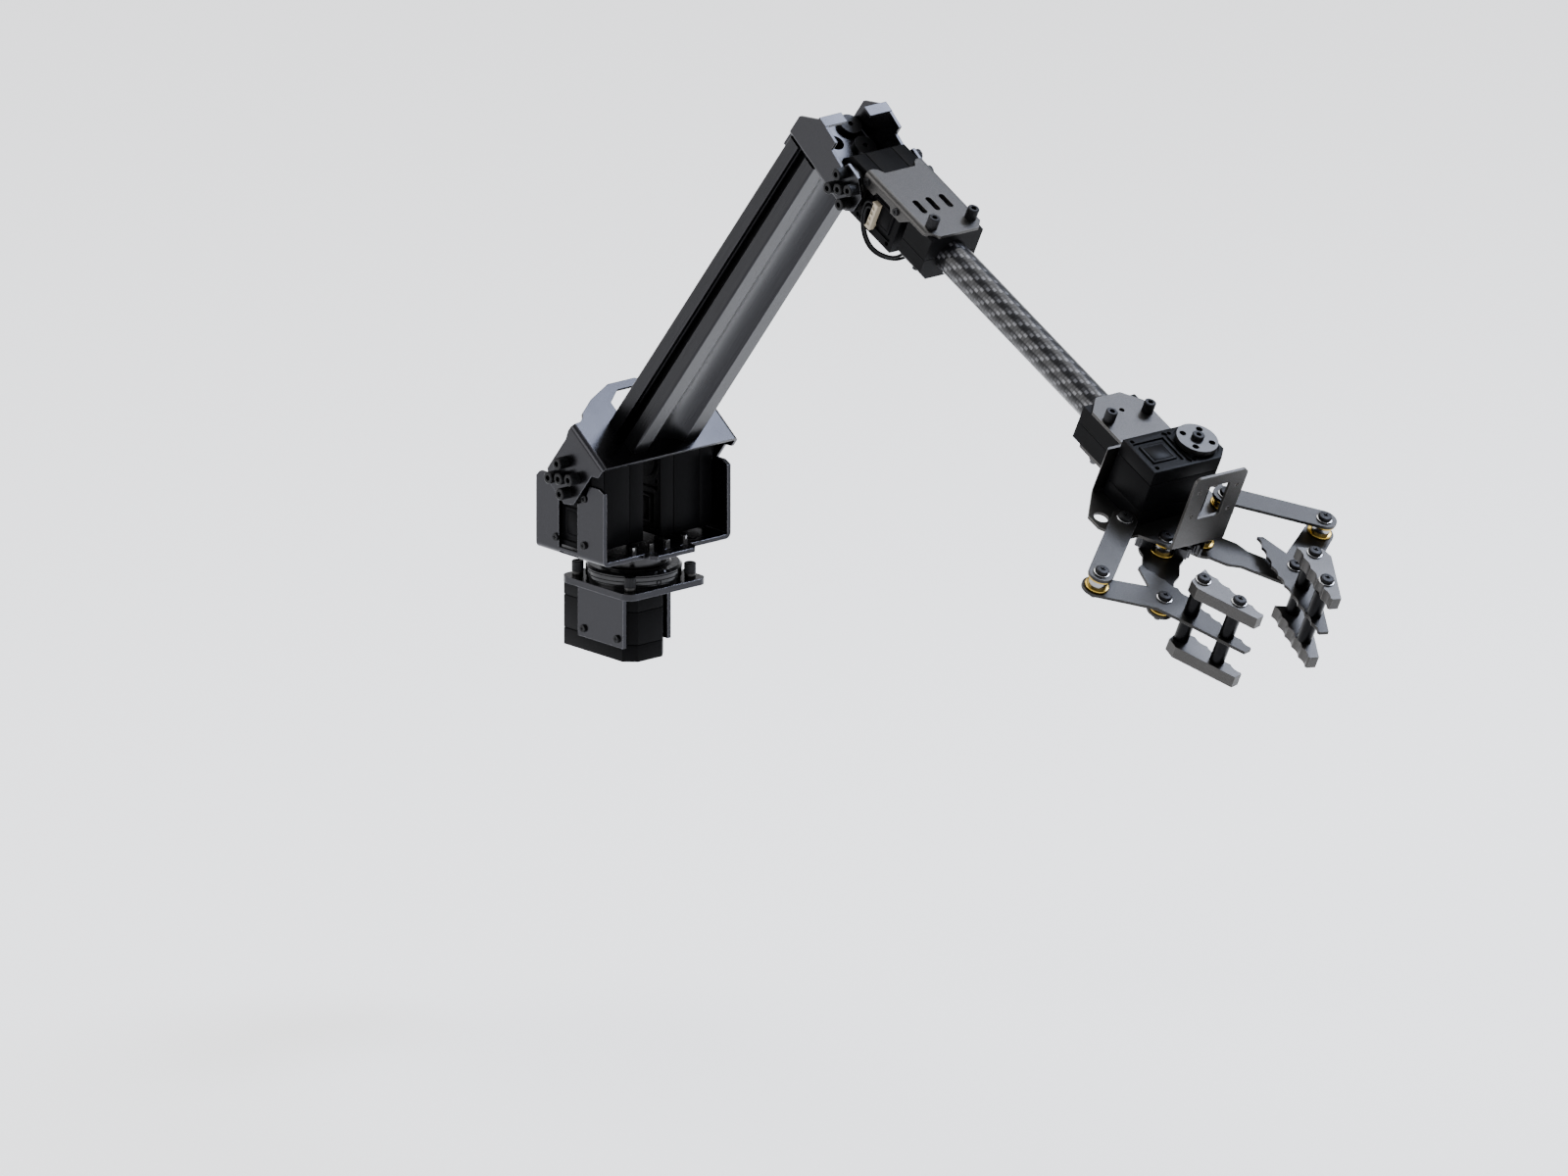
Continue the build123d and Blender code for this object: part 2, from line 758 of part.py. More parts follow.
elbow_horn_screws = cap_screws(
    *[(plane.offset(horn_reach + sheet), horn_spots(), sheet + horn_reach) for plane in elbow_planes]
)
save(elbow_horn_screws, "elbow_horn_screws")

# Elbow servo and the forearm bracket folded over it
elbow_frame = Plane(origin=fore.origin, x_dir=fore.x_dir, z_dir=(0, -1, 0))
elbow_servo = servo_case(elbow_frame)
save(elbow_servo, "elbow_servo")

bracket_half = servo_width / 2 + sheet
bracket_top = servo_thick / 2 + sheet
clip = 5.5
slots_along = 34.8
bracket_spots = [(servo_screw_near, servo_screw_side), (servo_screw_far, servo_screw_side)]
with BuildPart() as forearm_bracket:
    with BuildSketch(ahead(fore, bracket_start)):
        channel(bracket_half, bracket_top, bracket_top - flange_depth, sheet)
    extrude(amount=bracket_end - bracket_start)
    with BuildSketch(above(fore, bracket_top - flange_depth)):
        Polygon(
            *both_sides(
                [
                    (bracket_start + 4.0, 9.0),
                    (bracket_start + 1.0, 11.0),
                    (bracket_start, 13.0),
                    (bracket_start, bracket_half),
                    (bracket_end - clip, bracket_half),
                    (bracket_end, bracket_half - clip),
                ]
            ),
            align=None,
        )
    extrude(amount=flange_depth, mode=Mode.INTERSECT)
    with BuildSketch(beside(fore, bracket_half + 1.0)):
        Polygon(
            (flange_end + 4.0, bracket_top - sheet - bend),
            (flange_end - 3.0, bracket_top - flange_depth - 1.0),
            (bracket_end + 1.0, bracket_top - flange_depth - 1.0),
            (bracket_end + 1.0, bracket_top - sheet - bend),
            align=None,
        )
        Polygon(
            (14.0, bracket_top - flange_depth - 1.0),
            (16.0, bracket_top - flange_depth + 2.6),
            (26.0, bracket_top - flange_depth + 2.6),
            (28.0, bracket_top - flange_depth - 1.0),
            align=None,
        )
        with Locations(*bracket_spots):
            Circle(small_hole)
        Circle(horn_radius + 0.6)
    extrude(amount=2 * bracket_half + 2.0, mode=Mode.SUBTRACT)
    with BuildSketch(above(fore, bracket_top)):
        with Locations((slots_along, 0)):
            with GridLocations(1.0, 7.8, 1, 3):
                SlotOverall(9.5, 3.2)
        with Locations((clamp_screw_along, -clamp_screw_side), (clamp_screw_along, clamp_screw_side)):
            Circle(screw_hole)
    extrude(amount=-sheet - 1.0, mode=Mode.SUBTRACT)
save(forearm_bracket, "forearm_bracket")


# Split clamps round the carbon tube at the elbow and at the wrist
clamp_spots = [(clamp_screw_along, -clamp_screw_side), (clamp_screw_along, clamp_screw_side)]
wrist_spots = [(wrist_screw_along, -wrist_screw_side), (wrist_screw_along, wrist_screw_side)]
tab_places = [(y, n) for y in (-11.5, 11.5) for n in (-4.2, 4.2)]
tab_reach = 4.0
tab_head_height = 1.6


def clamp_half(start, end, section, spots):
    """Half of a split block round the tube, from its section across the forearm."""
    with BuildPart() as half:
        with BuildSketch(ahead(fore, start)):
            Polygon(*section, align=None)
            Circle(tube_radius + sliding, mode=Mode.SUBTRACT)
        extrude(amount=end - start)
        if end == wrist_end:
            with BuildSketch(across(fore, -wrist_side)):
                for way in (-1, 1):
                    Polygon(
                        (way * wrist_half, end),
                        (way * wrist_half, end - bend),
                        (way * (wrist_half - bend), end),
                        align=None,
                    )
            extrude(amount=2 * wrist_side, mode=Mode.SUBTRACT)
        with BuildSketch(above(fore, -2 * clamp_drop)):
            with Locations(*spots):
                Circle(screw_hole)
        extrude(amount=4 * clamp_drop, mode=Mode.SUBTRACT)
        if end == wrist_end:
            with BuildSketch(ahead(fore, end)):
                with Locations(*tab_places):
                    Circle(screw_hole)
            extrude(amount=-tab_reach - 0.5, mode=Mode.SUBTRACT)
    return half


split = clamp_split / 2
clamp_side = servo_width / 2
upper_tube_clamp = clamp_half(
    clamp_start,
    clamp_end,
    [
        (-clamp_side, split),
        (clamp_side, split),
        (clamp_side, bracket_top - sheet - bend),
        (clamp_side - bend, bracket_top - sheet),
        (-clamp_side + bend, bracket_top - sheet),
        (-clamp_side, bracket_top - sheet - bend),
    ],
    clamp_spots,
)
save(upper_tube_clamp, "upper_tube_clamp")
lower_tube_clamp = clamp_half(
    clamp_start,
    clamp_end,
    [
        (-clamp_side, -split),
        (-clamp_side, -clamp_drop + 5.0),
        (-clamp_side + 5.0, -clamp_drop),
        (clamp_side - 5.0, -clamp_drop),
        (clamp_side, -clamp_drop + 5.0),
        (clamp_side, -split),
    ],
    clamp_spots,
)
save(lower_tube_clamp, "lower_tube_clamp")
upper_wrist_clamp = clamp_half(
    wrist_start,
    wrist_end,
    [(-wrist_side, split), (wrist_side, split), (wrist_side, wrist_half), (-wrist_side, wrist_half)],
    wrist_spots,
)
save(upper_wrist_clamp, "upper_wrist_clamp")
lower_wrist_clamp = clamp_half(
    wrist_start,
    wrist_end,
    [(-wrist_side, -split), (-wrist_side, -wrist_half), (wrist_side, -wrist_half), (wrist_side, -split)],
    wrist_spots,
)
save(lower_wrist_clamp, "lower_wrist_clamp")

with BuildPart() as forearm_tube:
    with BuildSketch(ahead(fore, tube_start)):
        Circle(tube_radius)
        Circle(tube_radius - tube_wall, mode=Mode.SUBTRACT)
    extrude(amount=wrist_end - 0.5 - tube_start)
save(forearm_tube, "forearm_tube")

# Wrist bracket: a channel open towards the elbow, round both wrist clamp halves
wrist_outer = wrist_half + sheet
with BuildPart() as wrist_bracket:
    with BuildSketch(across(fore, -wrist_side)):
        channel(wrist_outer, wrist_end + sheet, wrist_plate_start, sheet)
    extrude(amount=2 * wrist_side)
    with BuildSketch(above(fore, -wrist_outer)):
        Polygon(
            *both_sides(
                [
                    (wrist_plate_start, wrist_side - wrist_corner),
                    (wrist_plate_start + wrist_corner, wrist_side),
                    (wrist_end + sheet, wrist_side),
                ]
            ),
            align=None,
        )
    extrude(amount=2 * wrist_outer, mode=Mode.INTERSECT)
    with BuildSketch(above(fore, -wrist_outer)):
        with Locations(*wrist_spots):
            Circle(screw_hole)
        with Locations((wrist_screw_along - 4.5, 0)):
            Circle(1.3)
    extrude(amount=2 * wrist_outer, mode=Mode.SUBTRACT)
    with BuildSketch(ahead(fore, wrist_end)):
        with Locations(*tab_places):
            Circle(screw_hole)
    extrude(amount=sheet, mode=Mode.SUBTRACT)
save(wrist_bracket, "wrist_bracket")

clamp_screws = cap_screws(
    (above(fore, bracket_top), clamp_spots, bracket_top + clamp_drop - 1.0),
    (above(fore, wrist_outer), wrist_spots, 2 * wrist_outer + nut_height),
)
save(clamp_screws, "clamp_screws")

# Gripper frame: back tab, winged floor and camera tab, folded from one sheet
frame_floor = frame_top - sheet
frame_back = wrist_end + sheet
lobe = 6.0
floor_spots = [(gripper_axis[0] + y, gripper_axis[1] - x) for x, y in servo_spots()]
with BuildPart() as gripper_frame:
    with BuildSketch(beside(fore, link_pivot[1] + 12.0)):
        channel(
            (camera_front - frame_back) / 2, frame_floor, camera_top, sheet, (camera_front + frame_back) / 2
        )
    extrude(amount=2 * (link_pivot[1] + 12.0))
    with BuildSketch(above(fore, frame_floor)):
        Polygon(
            *both_sides(
                [
                    (frame_back, frame_back_side),
                    (link_pivot[0] - 12.6, link_pivot[1] + 9.6),
                    (link_pivot[0] - 4.6, link_pivot[1] + 9.6),
                    (link_pivot[0] + lobe, link_pivot[1] + 2.0),
                    (link_pivot[0] + lobe, link_pivot[1] - 6.0),
                    (camera_front - 4.0, camera_side),
                    (camera_front, camera_side),
                ]
            ),
            align=None,
        )
    extrude(amount=camera_top - frame_floor, mode=Mode.INTERSECT)
    with BuildSketch(ahead(fore, frame_back - 1.0)):
        with Locations((0, frame_back_top + camera_top / 2)):
            Rectangle(3 * frame_back_side, camera_top)
    extrude(amount=sheet + 3.0, mode=Mode.SUBTRACT)
    with BuildSketch(ahead(fore, frame_back)):
        with Locations(*tab_places):
            Circle(screw_hole)
    extrude(amount=sheet, mode=Mode.SUBTRACT)
    with BuildSketch(ahead(fore, camera_front - sheet - 1.0)):
        with Locations((0, camera_height)):
            Rectangle(*camera_window)
            with GridLocations(*camera_holes, 2, 2):
                Circle(camera_hole)
    extrude(amount=sheet + 2.0, mode=Mode.SUBTRACT)
    with BuildSketch(above(fore, frame_floor)):
        with Locations(gripper_axis):
            Circle(horn_radius + 0.6)
        for side in (-1, 1):
            with Locations((crank_pivot[0], side * crank_pivot[1]), (link_pivot[0], side * link_pivot[1])):
                Circle(screw_hole)
            with Locations((link_pivot[0] - 9.9, side * (link_pivot[1] + 4.0))):
                Circle(3.5)
        with Locations(*floor_spots):
            Circle(small_hole)
    extrude(amount=sheet, mode=Mode.SUBTRACT)
    corners = [
        edge
        for edge in gripper_frame.edges()
        if abs(edge.length - sheet) < 0.01
        and abs((edge % 0.5).dot(fore.x_dir)) > 0.99
        and fore.to_local_coords(edge @ 0.5).Z > frame_back_top - 0.1
        and abs(fore.to_local_coords(edge @ 0.5).Y) > camera_side - 0.1
    ]
    fillet(corners, 3.0)
save(gripper_frame, "gripper_frame")

with BuildPart() as frame_tab_screws:
    with BuildSketch(ahead(fore, frame_back + sheet)):
        with Locations(*tab_places):
            Circle(head_radius)
    extrude(amount=tab_head_height)
    with BuildSketch(ahead(fore, frame_back + sheet)):
        with Locations(*tab_places):
            Circle(screw_radius)
    extrude(amount=-2 * sheet - tab_reach)
save(frame_tab_screws, "frame_tab_screws")

left_flange = Plane(fore.from_local_coords((0, bracket_half, 0)), x_dir=fore.x_dir, z_dir=fore.y_dir)
forearm_servo_screws = small_screws(
    (beside(fore, -bracket_half), bracket_spots, sheet),
    (left_flange, [(x, -z) for x, z in bracket_spots], sheet),
    (under(fore, frame_floor), [(y, x) for x, y in floor_spots], sheet),
)
save(forearm_servo_screws, "forearm_servo_screws")

gripper_servo_frame = Plane(
    fore.from_local_coords((*gripper_axis, frame_top + servo_width / 2)), x_dir=-fore.y_dir, z_dir=fore.z_dir
)
gear_side = Plane(fore.from_local_coords((*gripper_axis, frame_top)), x_dir=fore.x_dir, z_dir=-fore.z_dir)
with BuildPart() as gripper_servo:
    add(servo_case(gripper_servo_frame).part)
    with BuildSketch(gear_side):
        Circle(shaft_radius + running)
    extrude(amount=-servo_width, mode=Mode.SUBTRACT)
save(gripper_servo, "gripper_servo")
with BuildPart() as gripper_horns:
    add(horns(gripper_servo_frame.offset(servo_width / 2)).part)
    add(horns(gear_side).part)
    with BuildSketch(gear_side.offset(horn_gap - shaft_depth)):
        Circle(shaft_radius)
    extrude(amount=-servo_width + 2 * (shaft_depth - horn_gap))
save(gripper_horns, "gripper_horns")

# Gears: involute flanks by formula, thinned for backlash
pitch_radius = gear_module * gear_teeth / 2
base_radius = pitch_radius * cos(radians(20))
root_radius = pitch_radius - 1.25 * gear_module
tip_radius = pitch_radius + 0.9 * gear_module
tooth_half = (pi * gear_module / 2 - gear_backlash / 2) / (2 * pitch_radius)
gear_top = frame_top - horn_reach
gear_bottom = gear_top - gear_thick


def involute(angle):
    return tan(angle) - angle


def flank_angle(radius):
    """Half the angle that a tooth takes up at a radius."""
    pressure = acos(min(1.0, base_radius / radius))
    return tooth_half + involute(radians(20)) - involute(pressure)


def polar(radius, angle):
    return (radius * cos(angle), radius * sin(angle))


def gear_outline(turn):
    """Closed outline of a spur gear about the current origin, with a tooth at the angle turn."""
    step = 2 * pi / gear_teeth
    base_half = flank_angle(base_radius)
    middle_radius = (base_radius + tip_radius) / 2
    with BuildLine(Plane.XY) as outline:
        for tooth in range(gear_teeth):
            centre = turn + tooth * step
            rise = [
                polar(root_radius, centre - base_half),
                polar(base_radius, centre - base_half),
                polar(middle_radius, centre - flank_angle(middle_radius)),
                polar(tip_radius, centre - flank_angle(tip_radius)),
            ]
            fall = [
                polar(tip_radius, centre + flank_angle(tip_radius)),
                polar(middle_radius, centre + flank_angle(middle_radius)),
                polar(base_radius, centre + base_half),
                polar(root_radius, centre + base_half),
            ]
            Line(rise[0], rise[1])
            ThreePointArc(rise[1], rise[2], rise[3])
            Line(rise[3], fall[0])
            ThreePointArc(fall[0], fall[1], fall[2])
            Line(fall[2], fall[3])
            Line(fall[3], polar(root_radius, centre + step - base_half))
    make_face(outline.edges())


def gear_plane(place, height, side=1):
    """Plane of a gear or pivot at a place on the forearm, on the given side of its middle."""
    return Plane(
        fore.from_local_coords((place[0], side * place[1], height)), x_dir=fore.x_dir, z_dir=fore.z_dir
    )


half_pitch = pi / gear_teeth
with BuildPart() as drive_gear:
    with BuildSketch(gear_plane(gripper_axis, gear_bottom)):
        gear_outline(half_pitch)
        with Locations(*horn_spots()):
            Circle(screw_hole, mode=Mode.SUBTRACT)
    extrude(amount=gear_thick)
save(drive_gear, "drive_gear")

gear_screw_plane = Plane(
    fore.from_local_coords((*gripper_axis, gear_bottom)), x_dir=fore.x_dir, z_dir=-fore.z_dir
)
drive_gear_screws = pan_screws((gear_screw_plane, horn_spots(), gear_thick + horn_reach))
save(drive_gear_screws, "drive_gear_screws")

# Heights of the linkage's layers on the forearm
link_bottom = frame_top + link_lift
link_top = link_bottom + sheet
finger_top = frame_floor - finger_drop
finger_bottom = finger_top - sheet
crank_top = gear_bottom
crank_bottom = crank_top - sheet
crank_length = ((crank_end[0] - crank_pivot[0]) ** 2 + (crank_end[1] - crank_pivot[1]) ** 2) ** 0.5
crank_angle = asin((crank_end[1] - crank_pivot[1]) / crank_length)
link_length = ((link_end[0] - link_pivot[0]) ** 2 + (link_end[1] - link_pivot[1]) ** 2) ** 0.5
link_angle = asin((link_end[1] - link_pivot[1]) / link_length)


def turned_plane(place, angle, height, side):
    """Plane at a pivot whose x runs along a crank or link that points away from the middle."""
    along = fore.x_dir * cos(angle) + fore.y_dir * (side * sin(angle))
    return Plane(
        fore.from_local_coords((place[0], side * place[1], height)), x_dir=along, z_dir=fore.z_dir
    )


def gear_sector(side):
    """Toothed sector that sits on the crank plate and leaves the bush open in front."""
    rear_cut = 2.0
    with BuildPart() as sector:
        with BuildSketch(gear_plane(crank_pivot, gear_bottom, side)):
            gear_outline(half_pitch if side < 0 else 0.0)
            Circle(bush_radius + running, mode=Mode.SUBTRACT)
        extrude(amount=gear_thick)
        with BuildSketch(turned_plane(crank_pivot, crank_angle, gear_bottom, side)):
            with Locations((rear_cut + tip_radius, 0)):
                Rectangle(2 * tip_radius, 3 * tip_radius)
        extrude(amount=gear_thick, mode=Mode.SUBTRACT)
    return sector


def crank_plate(side):
    """Crank under a gear sector, wide at the gear and narrow at the finger."""
    shoulder = 15.0
    neck = 21.0
    with BuildPart() as plate:
        with BuildSketch(turned_plane(crank_pivot, crank_angle, crank_bottom, side)):
            Circle(root_radius)
            Polygon(
                *both_sides(
                    [(0, crank_half), (shoulder, crank_half), (neck, crank_tip_half), (crank_length, crank_tip_half)]
                ),
                align=None,
            )
            with Locations((crank_length, 0)):
                Circle(crank_tip_half)
            with Locations((0, 0), (crank_length, 0)):
                Circle(screw_hole, mode=Mode.SUBTRACT)
        extrude(amount=sheet)
    return plate


def link_bar(side):
    """Steering link above the frame, with a wide hole at its open finger pivot."""
    with BuildPart() as bar:
        with BuildSketch(turned_plane(link_pivot, link_angle, link_bottom, side)):
            with Locations((link_length / 2, 0)):
                SlotCenterToCenter(link_length, 2 * link_half)
            Circle(screw_hole, mode=Mode.SUBTRACT)
            with Locations((link_length, 0)):
                Circle(screw_radius + link_play, mode=Mode.SUBTRACT)
        extrude(amount=sheet)
    return bar


def jaw_point(x, y, side):
    """Place on the forearm of a point given along the jaw and inwards from its first column."""
    turn = radians(jaw_angle)
    along = jaw_start[0] + x * cos(turn) - y * sin(turn)
    out = -jaw_start[1] + x * sin(turn) + y * cos(turn)
    return (along, -side * out)


def toothed_edge(peaks, side):
    """Run of shallow scallops between the peaks, cut towards the jaw's back."""
    for (x0, y0), (x1, y1) in zip(peaks, peaks[1:]):
        flat = 0.8
        start = jaw_point(x0 + flat, y0, side)
        middle = jaw_point((x0 + flat + x1) / 2, (y0 + y1) / 2 - tooth_depth, side)
        Line(jaw_point(x0, y0, side), start)
        ThreePointArc(start, middle, jaw_point(x1, y1, side))


def spaced(first, last, count):
    """Points evenly spaced from first to last, both included."""
    return [
        (first[0] + (last[0] - first[0]) * k / count, first[1] + (last[1] - first[1]) * k / count)
        for k in range(count + 1)
    ]


jaw_tip = (32.0, 1.6)
jaw_heel = (-3.6, 7.6)
jaw_tip_back = (32.0, -3.8)
jaw_heel_back = (1.6, -7.8)


def jaw_bars(bottoms, side):
    """Thick toothed bars at the top and foot of a finger, each from its underside."""
    peaks = spaced(jaw_heel, jaw_tip, 5)
    back = [jaw_tip, (jaw_tip[0] + 0.8, 0.6), jaw_tip_back, jaw_heel_back, (-3.6, -5.0), jaw_heel]
    with BuildPart() as bars:
        for bottom in bottoms:
            with BuildSketch(above(fore, bottom)):
                with BuildLine():
                    toothed_edge(peaks, side)
                    Polyline(*[jaw_point(x, y, side) for x, y in back])
                make_face()
                with Locations(jaw_point(0, 0, side), jaw_point(jaw_pitch, 0, side)):
                    Circle(screw_hole, mode=Mode.SUBTRACT)
            extrude(amount=jaw_thick)
    return bars


def finger_plate(side):
    """Plate that joins the crank and link pivots to the jaw, with a toothed spur behind."""
    spur_root = (-14.0, 11.0)
    spur_tip = (-34.0, 12.0)
    spur_back = (-34.0, 9.0)
    edge = spaced(spur_tip, spur_root, 3)[:-1] + spaced(spur_root, jaw_tip, 7)
    end_x, end_y = link_end
    valley = (268.2, 41.2)
    inner_arm = (254.9, 62.8)
    outer_arm = (265.9, 70.9)
    elbow_out = (282.5, 47.0)
    with BuildPart() as plate:
        with BuildSketch(above(fore, finger_bottom)):
            with BuildLine():
                toothed_edge(edge, side)
                Polyline(
                    *[
                        jaw_point(x, y, side)
                        for x, y in (jaw_tip, (jaw_tip[0] + 0.8, 0.6), jaw_tip_back, jaw_heel_back)
                    ]
                )
                Polyline(
                    jaw_point(*jaw_heel_back, side),
                    (elbow_out[0], side * elbow_out[1]),
                    (outer_arm[0], side * outer_arm[1]),
                    (inner_arm[0], side * inner_arm[1]),
                    (valley[0], side * valley[1]),
                    jaw_point(*spur_back, side),
                    jaw_point(*spur_tip, side),
                )
            make_face()
            with Locations((end_x, side * end_y)):
                Circle(6.8)
            with Locations(
                (end_x, side * end_y),
                (crank_end[0], side * crank_end[1]),
                jaw_point(0, 0, side),
                jaw_point(jaw_pitch, 0, side),
            ):
                Circle(screw_hole, mode=Mode.SUBTRACT)
        extrude(amount=sheet)
    return plate


for hand, side in (("right", -1), ("left", 1)):
    save(gear_sector(side), f"{hand}_gear")
    save(crank_plate(side), f"{hand}_crank")
    save(link_bar(side), f"{hand}_link")
    save(finger_plate(side), f"{hand}_finger_plate")
    upper_jaw_bottom = finger_top + jaw_gap
    lower_jaw_top = finger_bottom - jaw_gap
    save(jaw_bars((upper_jaw_bottom, lower_jaw_top - jaw_thick), side), f"{hand}_jaws")
    column_spots = [jaw_point(0, 0, side), jaw_point(jaw_pitch, 0, side)]
    jaw_columns = sleeves(
        column_radius,
        (above(fore, finger_top), column_spots, jaw_gap),
        (above(fore, lower_jaw_top), column_spots, jaw_gap),
    )
    save(jaw_columns, f"{hand}_jaw_columns")
    steer_spot = [(link_end[0], side * link_end[1])]
    drive_spot = [(crank_end[0], side * crank_end[1])]
    jaw_reach = 2 * jaw_thick + 2 * jaw_gap + sheet - 1.0
    finger_screws = pan_screws(
        (above(fore, upper_jaw_bottom + jaw_thick), column_spots, jaw_reach),
        (above(fore, link_top + sliding), steer_spot, link_top + sliding - finger_bottom + nut_height),
        (above(fore, finger_top), drive_spot, finger_top - crank_bottom + nut_height),
    )
    save(finger_screws, f"{hand}_finger_screws")
    finger_bushes = sleeves(
        bush_radius,
        (above(fore, finger_top), steer_spot, link_bottom - finger_top - sliding),
        (above(fore, crank_top + sliding), drive_spot, finger_bottom - crank_top - sliding),
    )
    save(finger_bushes, f"{hand}_finger_bushes")
    finger_nuts = nuts(
        (above(fore, finger_bottom - nut_height), steer_spot),
        (above(fore, crank_bottom - sliding - nut_height), drive_spot),
    )
    save(finger_nuts, f"{hand}_finger_nuts")

# Screws, bushes and nuts of the four pivots on the gripper frame
crank_spots = [(crank_pivot[0], side * crank_pivot[1]) for side in (-1, 1)]
link_spots = [(link_pivot[0], side * link_pivot[1]) for side in (-1, 1)]
frame_screws = pan_screws(
    (above(fore, frame_top), crank_spots, frame_top - crank_bottom + nut_height),
    (above(fore, link_top + sliding), link_spots, link_top + sliding - frame_floor + nut_height),
)
save(frame_screws, "frame_screws")
frame_bushes = sleeves(
    bush_radius,
    (above(fore, crank_top + sliding), crank_spots, frame_floor - crank_top - sliding),
    (above(fore, frame_top), link_spots, link_lift - sliding),
)
save(frame_bushes, "frame_bushes")
forearm_nuts = nuts(
    (above(fore, -wrist_outer - nut_height), wrist_spots),
    (above(fore, crank_bottom - sliding - nut_height), crank_spots),
    (above(fore, frame_floor - nut_height), link_spots),
)
save(forearm_nuts, "forearm_nuts")

# Plug on the elbow servo's right side, and its two wires that loop round and go into the tube
plug_along = 18.4
plug_height = -2.3
plug_width = 3.8
plug_length = 14.0
plug_thick = 2.6
with BuildPart() as cable_plug:
    with BuildSketch(beside(fore, -servo_width / 2)):
        with Locations((plug_along, plug_height)):
            RectangleRounded(plug_width, plug_length, 0.6)
    extrude(amount=plug_thick)
save(cable_plug, "cable_plug")

wire_side = -servo_width / 2 - plug_thick / 2
servo_end = servo_length - servo_inset
wire_gap = servo_end + (tube_start - servo_end) / 2
plug_end = plug_along - plug_width / 2
outer_route = [
    (plug_end, wire_side, 2.7),
    (horn_radius + 1.4, wire_side, 2.7),
    (horn_radius + 1.9, wire_side, -6.0),
    (horn_radius + 5.5, wire_side, -14.0),
    (23.0, wire_side + 0.3, -18.6),
    (31.0, wire_side + 3.3, -18.6),
    (wire_gap, -6.5, -17.5),
    (wire_gap, -0.8, -12.0),
    (wire_gap, -0.6, -1.0),
    (wire_gap + 7.2, 0.4, -1.0),
]
inner_route = [
    (plug_end, wire_side, 0.15),
    (horn_radius + 3.1, wire_side, 0.15),
    (horn_radius + 3.6, wire_side, -5.6),
    (horn_radius + 6.6, wire_side, -12.6),
    (23.5, wire_side + 0.3, -16.9),
    (30.4, wire_side + 2.3, -16.9),
    (wire_gap, -10.0, -15.7),
    (wire_gap, -4.6, -10.6),
    (wire_gap, -4.0, -1.8),
    (wire_gap + 7.2, -3.0, -1.8),
]
for name, route in (("outer_elbow_wire", outer_route), ("inner_elbow_wire", inner_route)):
    points = [fore.from_local_coords(point) for point in route]
    runs = [end - start for start, end in zip(points, points[1:])]
    turns = [before.get_angle(after) for before, after in zip(runs, runs[1:])]
    bends = [
        0.45 * min(before.length, after.length) / tan(radians(turn / 2))
        for before, after, turn in zip(runs, runs[1:], turns)
    ]
    print(name, [round(bend, 1) for bend in bends], round(sum(run.length for run in runs), 1))
    with BuildPart() as wire:
        with BuildLine() as line:
            FilletPolyline(*points, radius=bends)
        with BuildSketch(Plane(line.line @ 0, z_dir=line.line % 0)):
            Circle(wire_radius)
        sweep(path=line.line)
    save(wire, name)
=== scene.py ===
import json
from math import cos, pi, radians, sin

import bmesh
import bpy
from mathutils import Matrix, Vector


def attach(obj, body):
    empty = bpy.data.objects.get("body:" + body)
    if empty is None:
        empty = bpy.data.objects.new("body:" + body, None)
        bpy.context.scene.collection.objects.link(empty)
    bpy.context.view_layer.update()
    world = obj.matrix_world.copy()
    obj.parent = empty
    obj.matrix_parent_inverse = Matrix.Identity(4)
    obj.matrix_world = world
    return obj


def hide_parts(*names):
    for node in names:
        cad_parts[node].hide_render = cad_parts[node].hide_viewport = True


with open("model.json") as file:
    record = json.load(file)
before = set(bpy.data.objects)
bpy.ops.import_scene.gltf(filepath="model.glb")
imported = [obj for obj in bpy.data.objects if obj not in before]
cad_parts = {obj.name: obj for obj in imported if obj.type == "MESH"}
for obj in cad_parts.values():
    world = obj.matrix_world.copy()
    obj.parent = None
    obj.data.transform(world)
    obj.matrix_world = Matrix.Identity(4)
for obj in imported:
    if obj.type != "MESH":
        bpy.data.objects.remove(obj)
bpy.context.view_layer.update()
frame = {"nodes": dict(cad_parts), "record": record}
MM = 0.001

# The arm's layout, in millimetres and degrees, as the frame has it
SHOULDER_HEIGHT = 54.0
UPPER_PITCH = 52.3
ELBOW_ALONG = 236.8
ELBOW_DROP = 30.0
FOREARM_DROP = 26.5
FLANGE_SHEET = 3.0
HORN_CIRCLE = 7.0
HOOD_CHEEK_SIDE = 40.7
ELBOW_CHEEK_SIDE = 20.0
ELBOW_CLAMP_SCREWS = (48.5, 11.75, 13.85)
WRIST_CLAMP_SCREWS = (186.5, 11.5, 10.3)
DECK_SCREW_SIDE = 18.0
PAN_FACE = -6.0
SERVO_SPREAD = 20.7
TAB_SIDE = 38.2
RING_RADIUS = 22.0
GRIPPER_SHAFT = (219.4, 12.0)
GRIPPER_HORN_TOP = 21.0
CRANK_PIVOT = (243.4, 12.0)
LINK_PIVOT = (231.6, 30.4)
CRANK_END = (277.5, 39.3)
LINK_END = (260.5, 66.9)
JAW_START = (290.2, 33.4)
JAW_ANGLE = 21.5
JAW_PITCH = 19.7
LINK_BOTTOM, LINK_TOP = -8.3, -6.75
FRAME_TOP, FRAME_FLOOR = -13.0, -14.5
FINGER_TOP, FINGER_BOTTOM = -14.8, -16.3
CRANK_TOP, CRANK_BOTTOM = -21.0, -22.5
UPPER_JAW_TOP = 4.7
JAW_STACK = 38.0

# The studio, in millimetres, degrees and watts
FLOOR_HEIGHT = -200.0
CAMERA_AZIMUTH = 48.907
CAMERA_ELEVATION = 16.076
CAMERA_AIM = (45.8, 50.2, -5.4)
CAMERA_DISTANCE = 3000.0
CAMERA_SPAN = 709.5
LIGHT_AIM = (150.0, 0.0, 120.0)

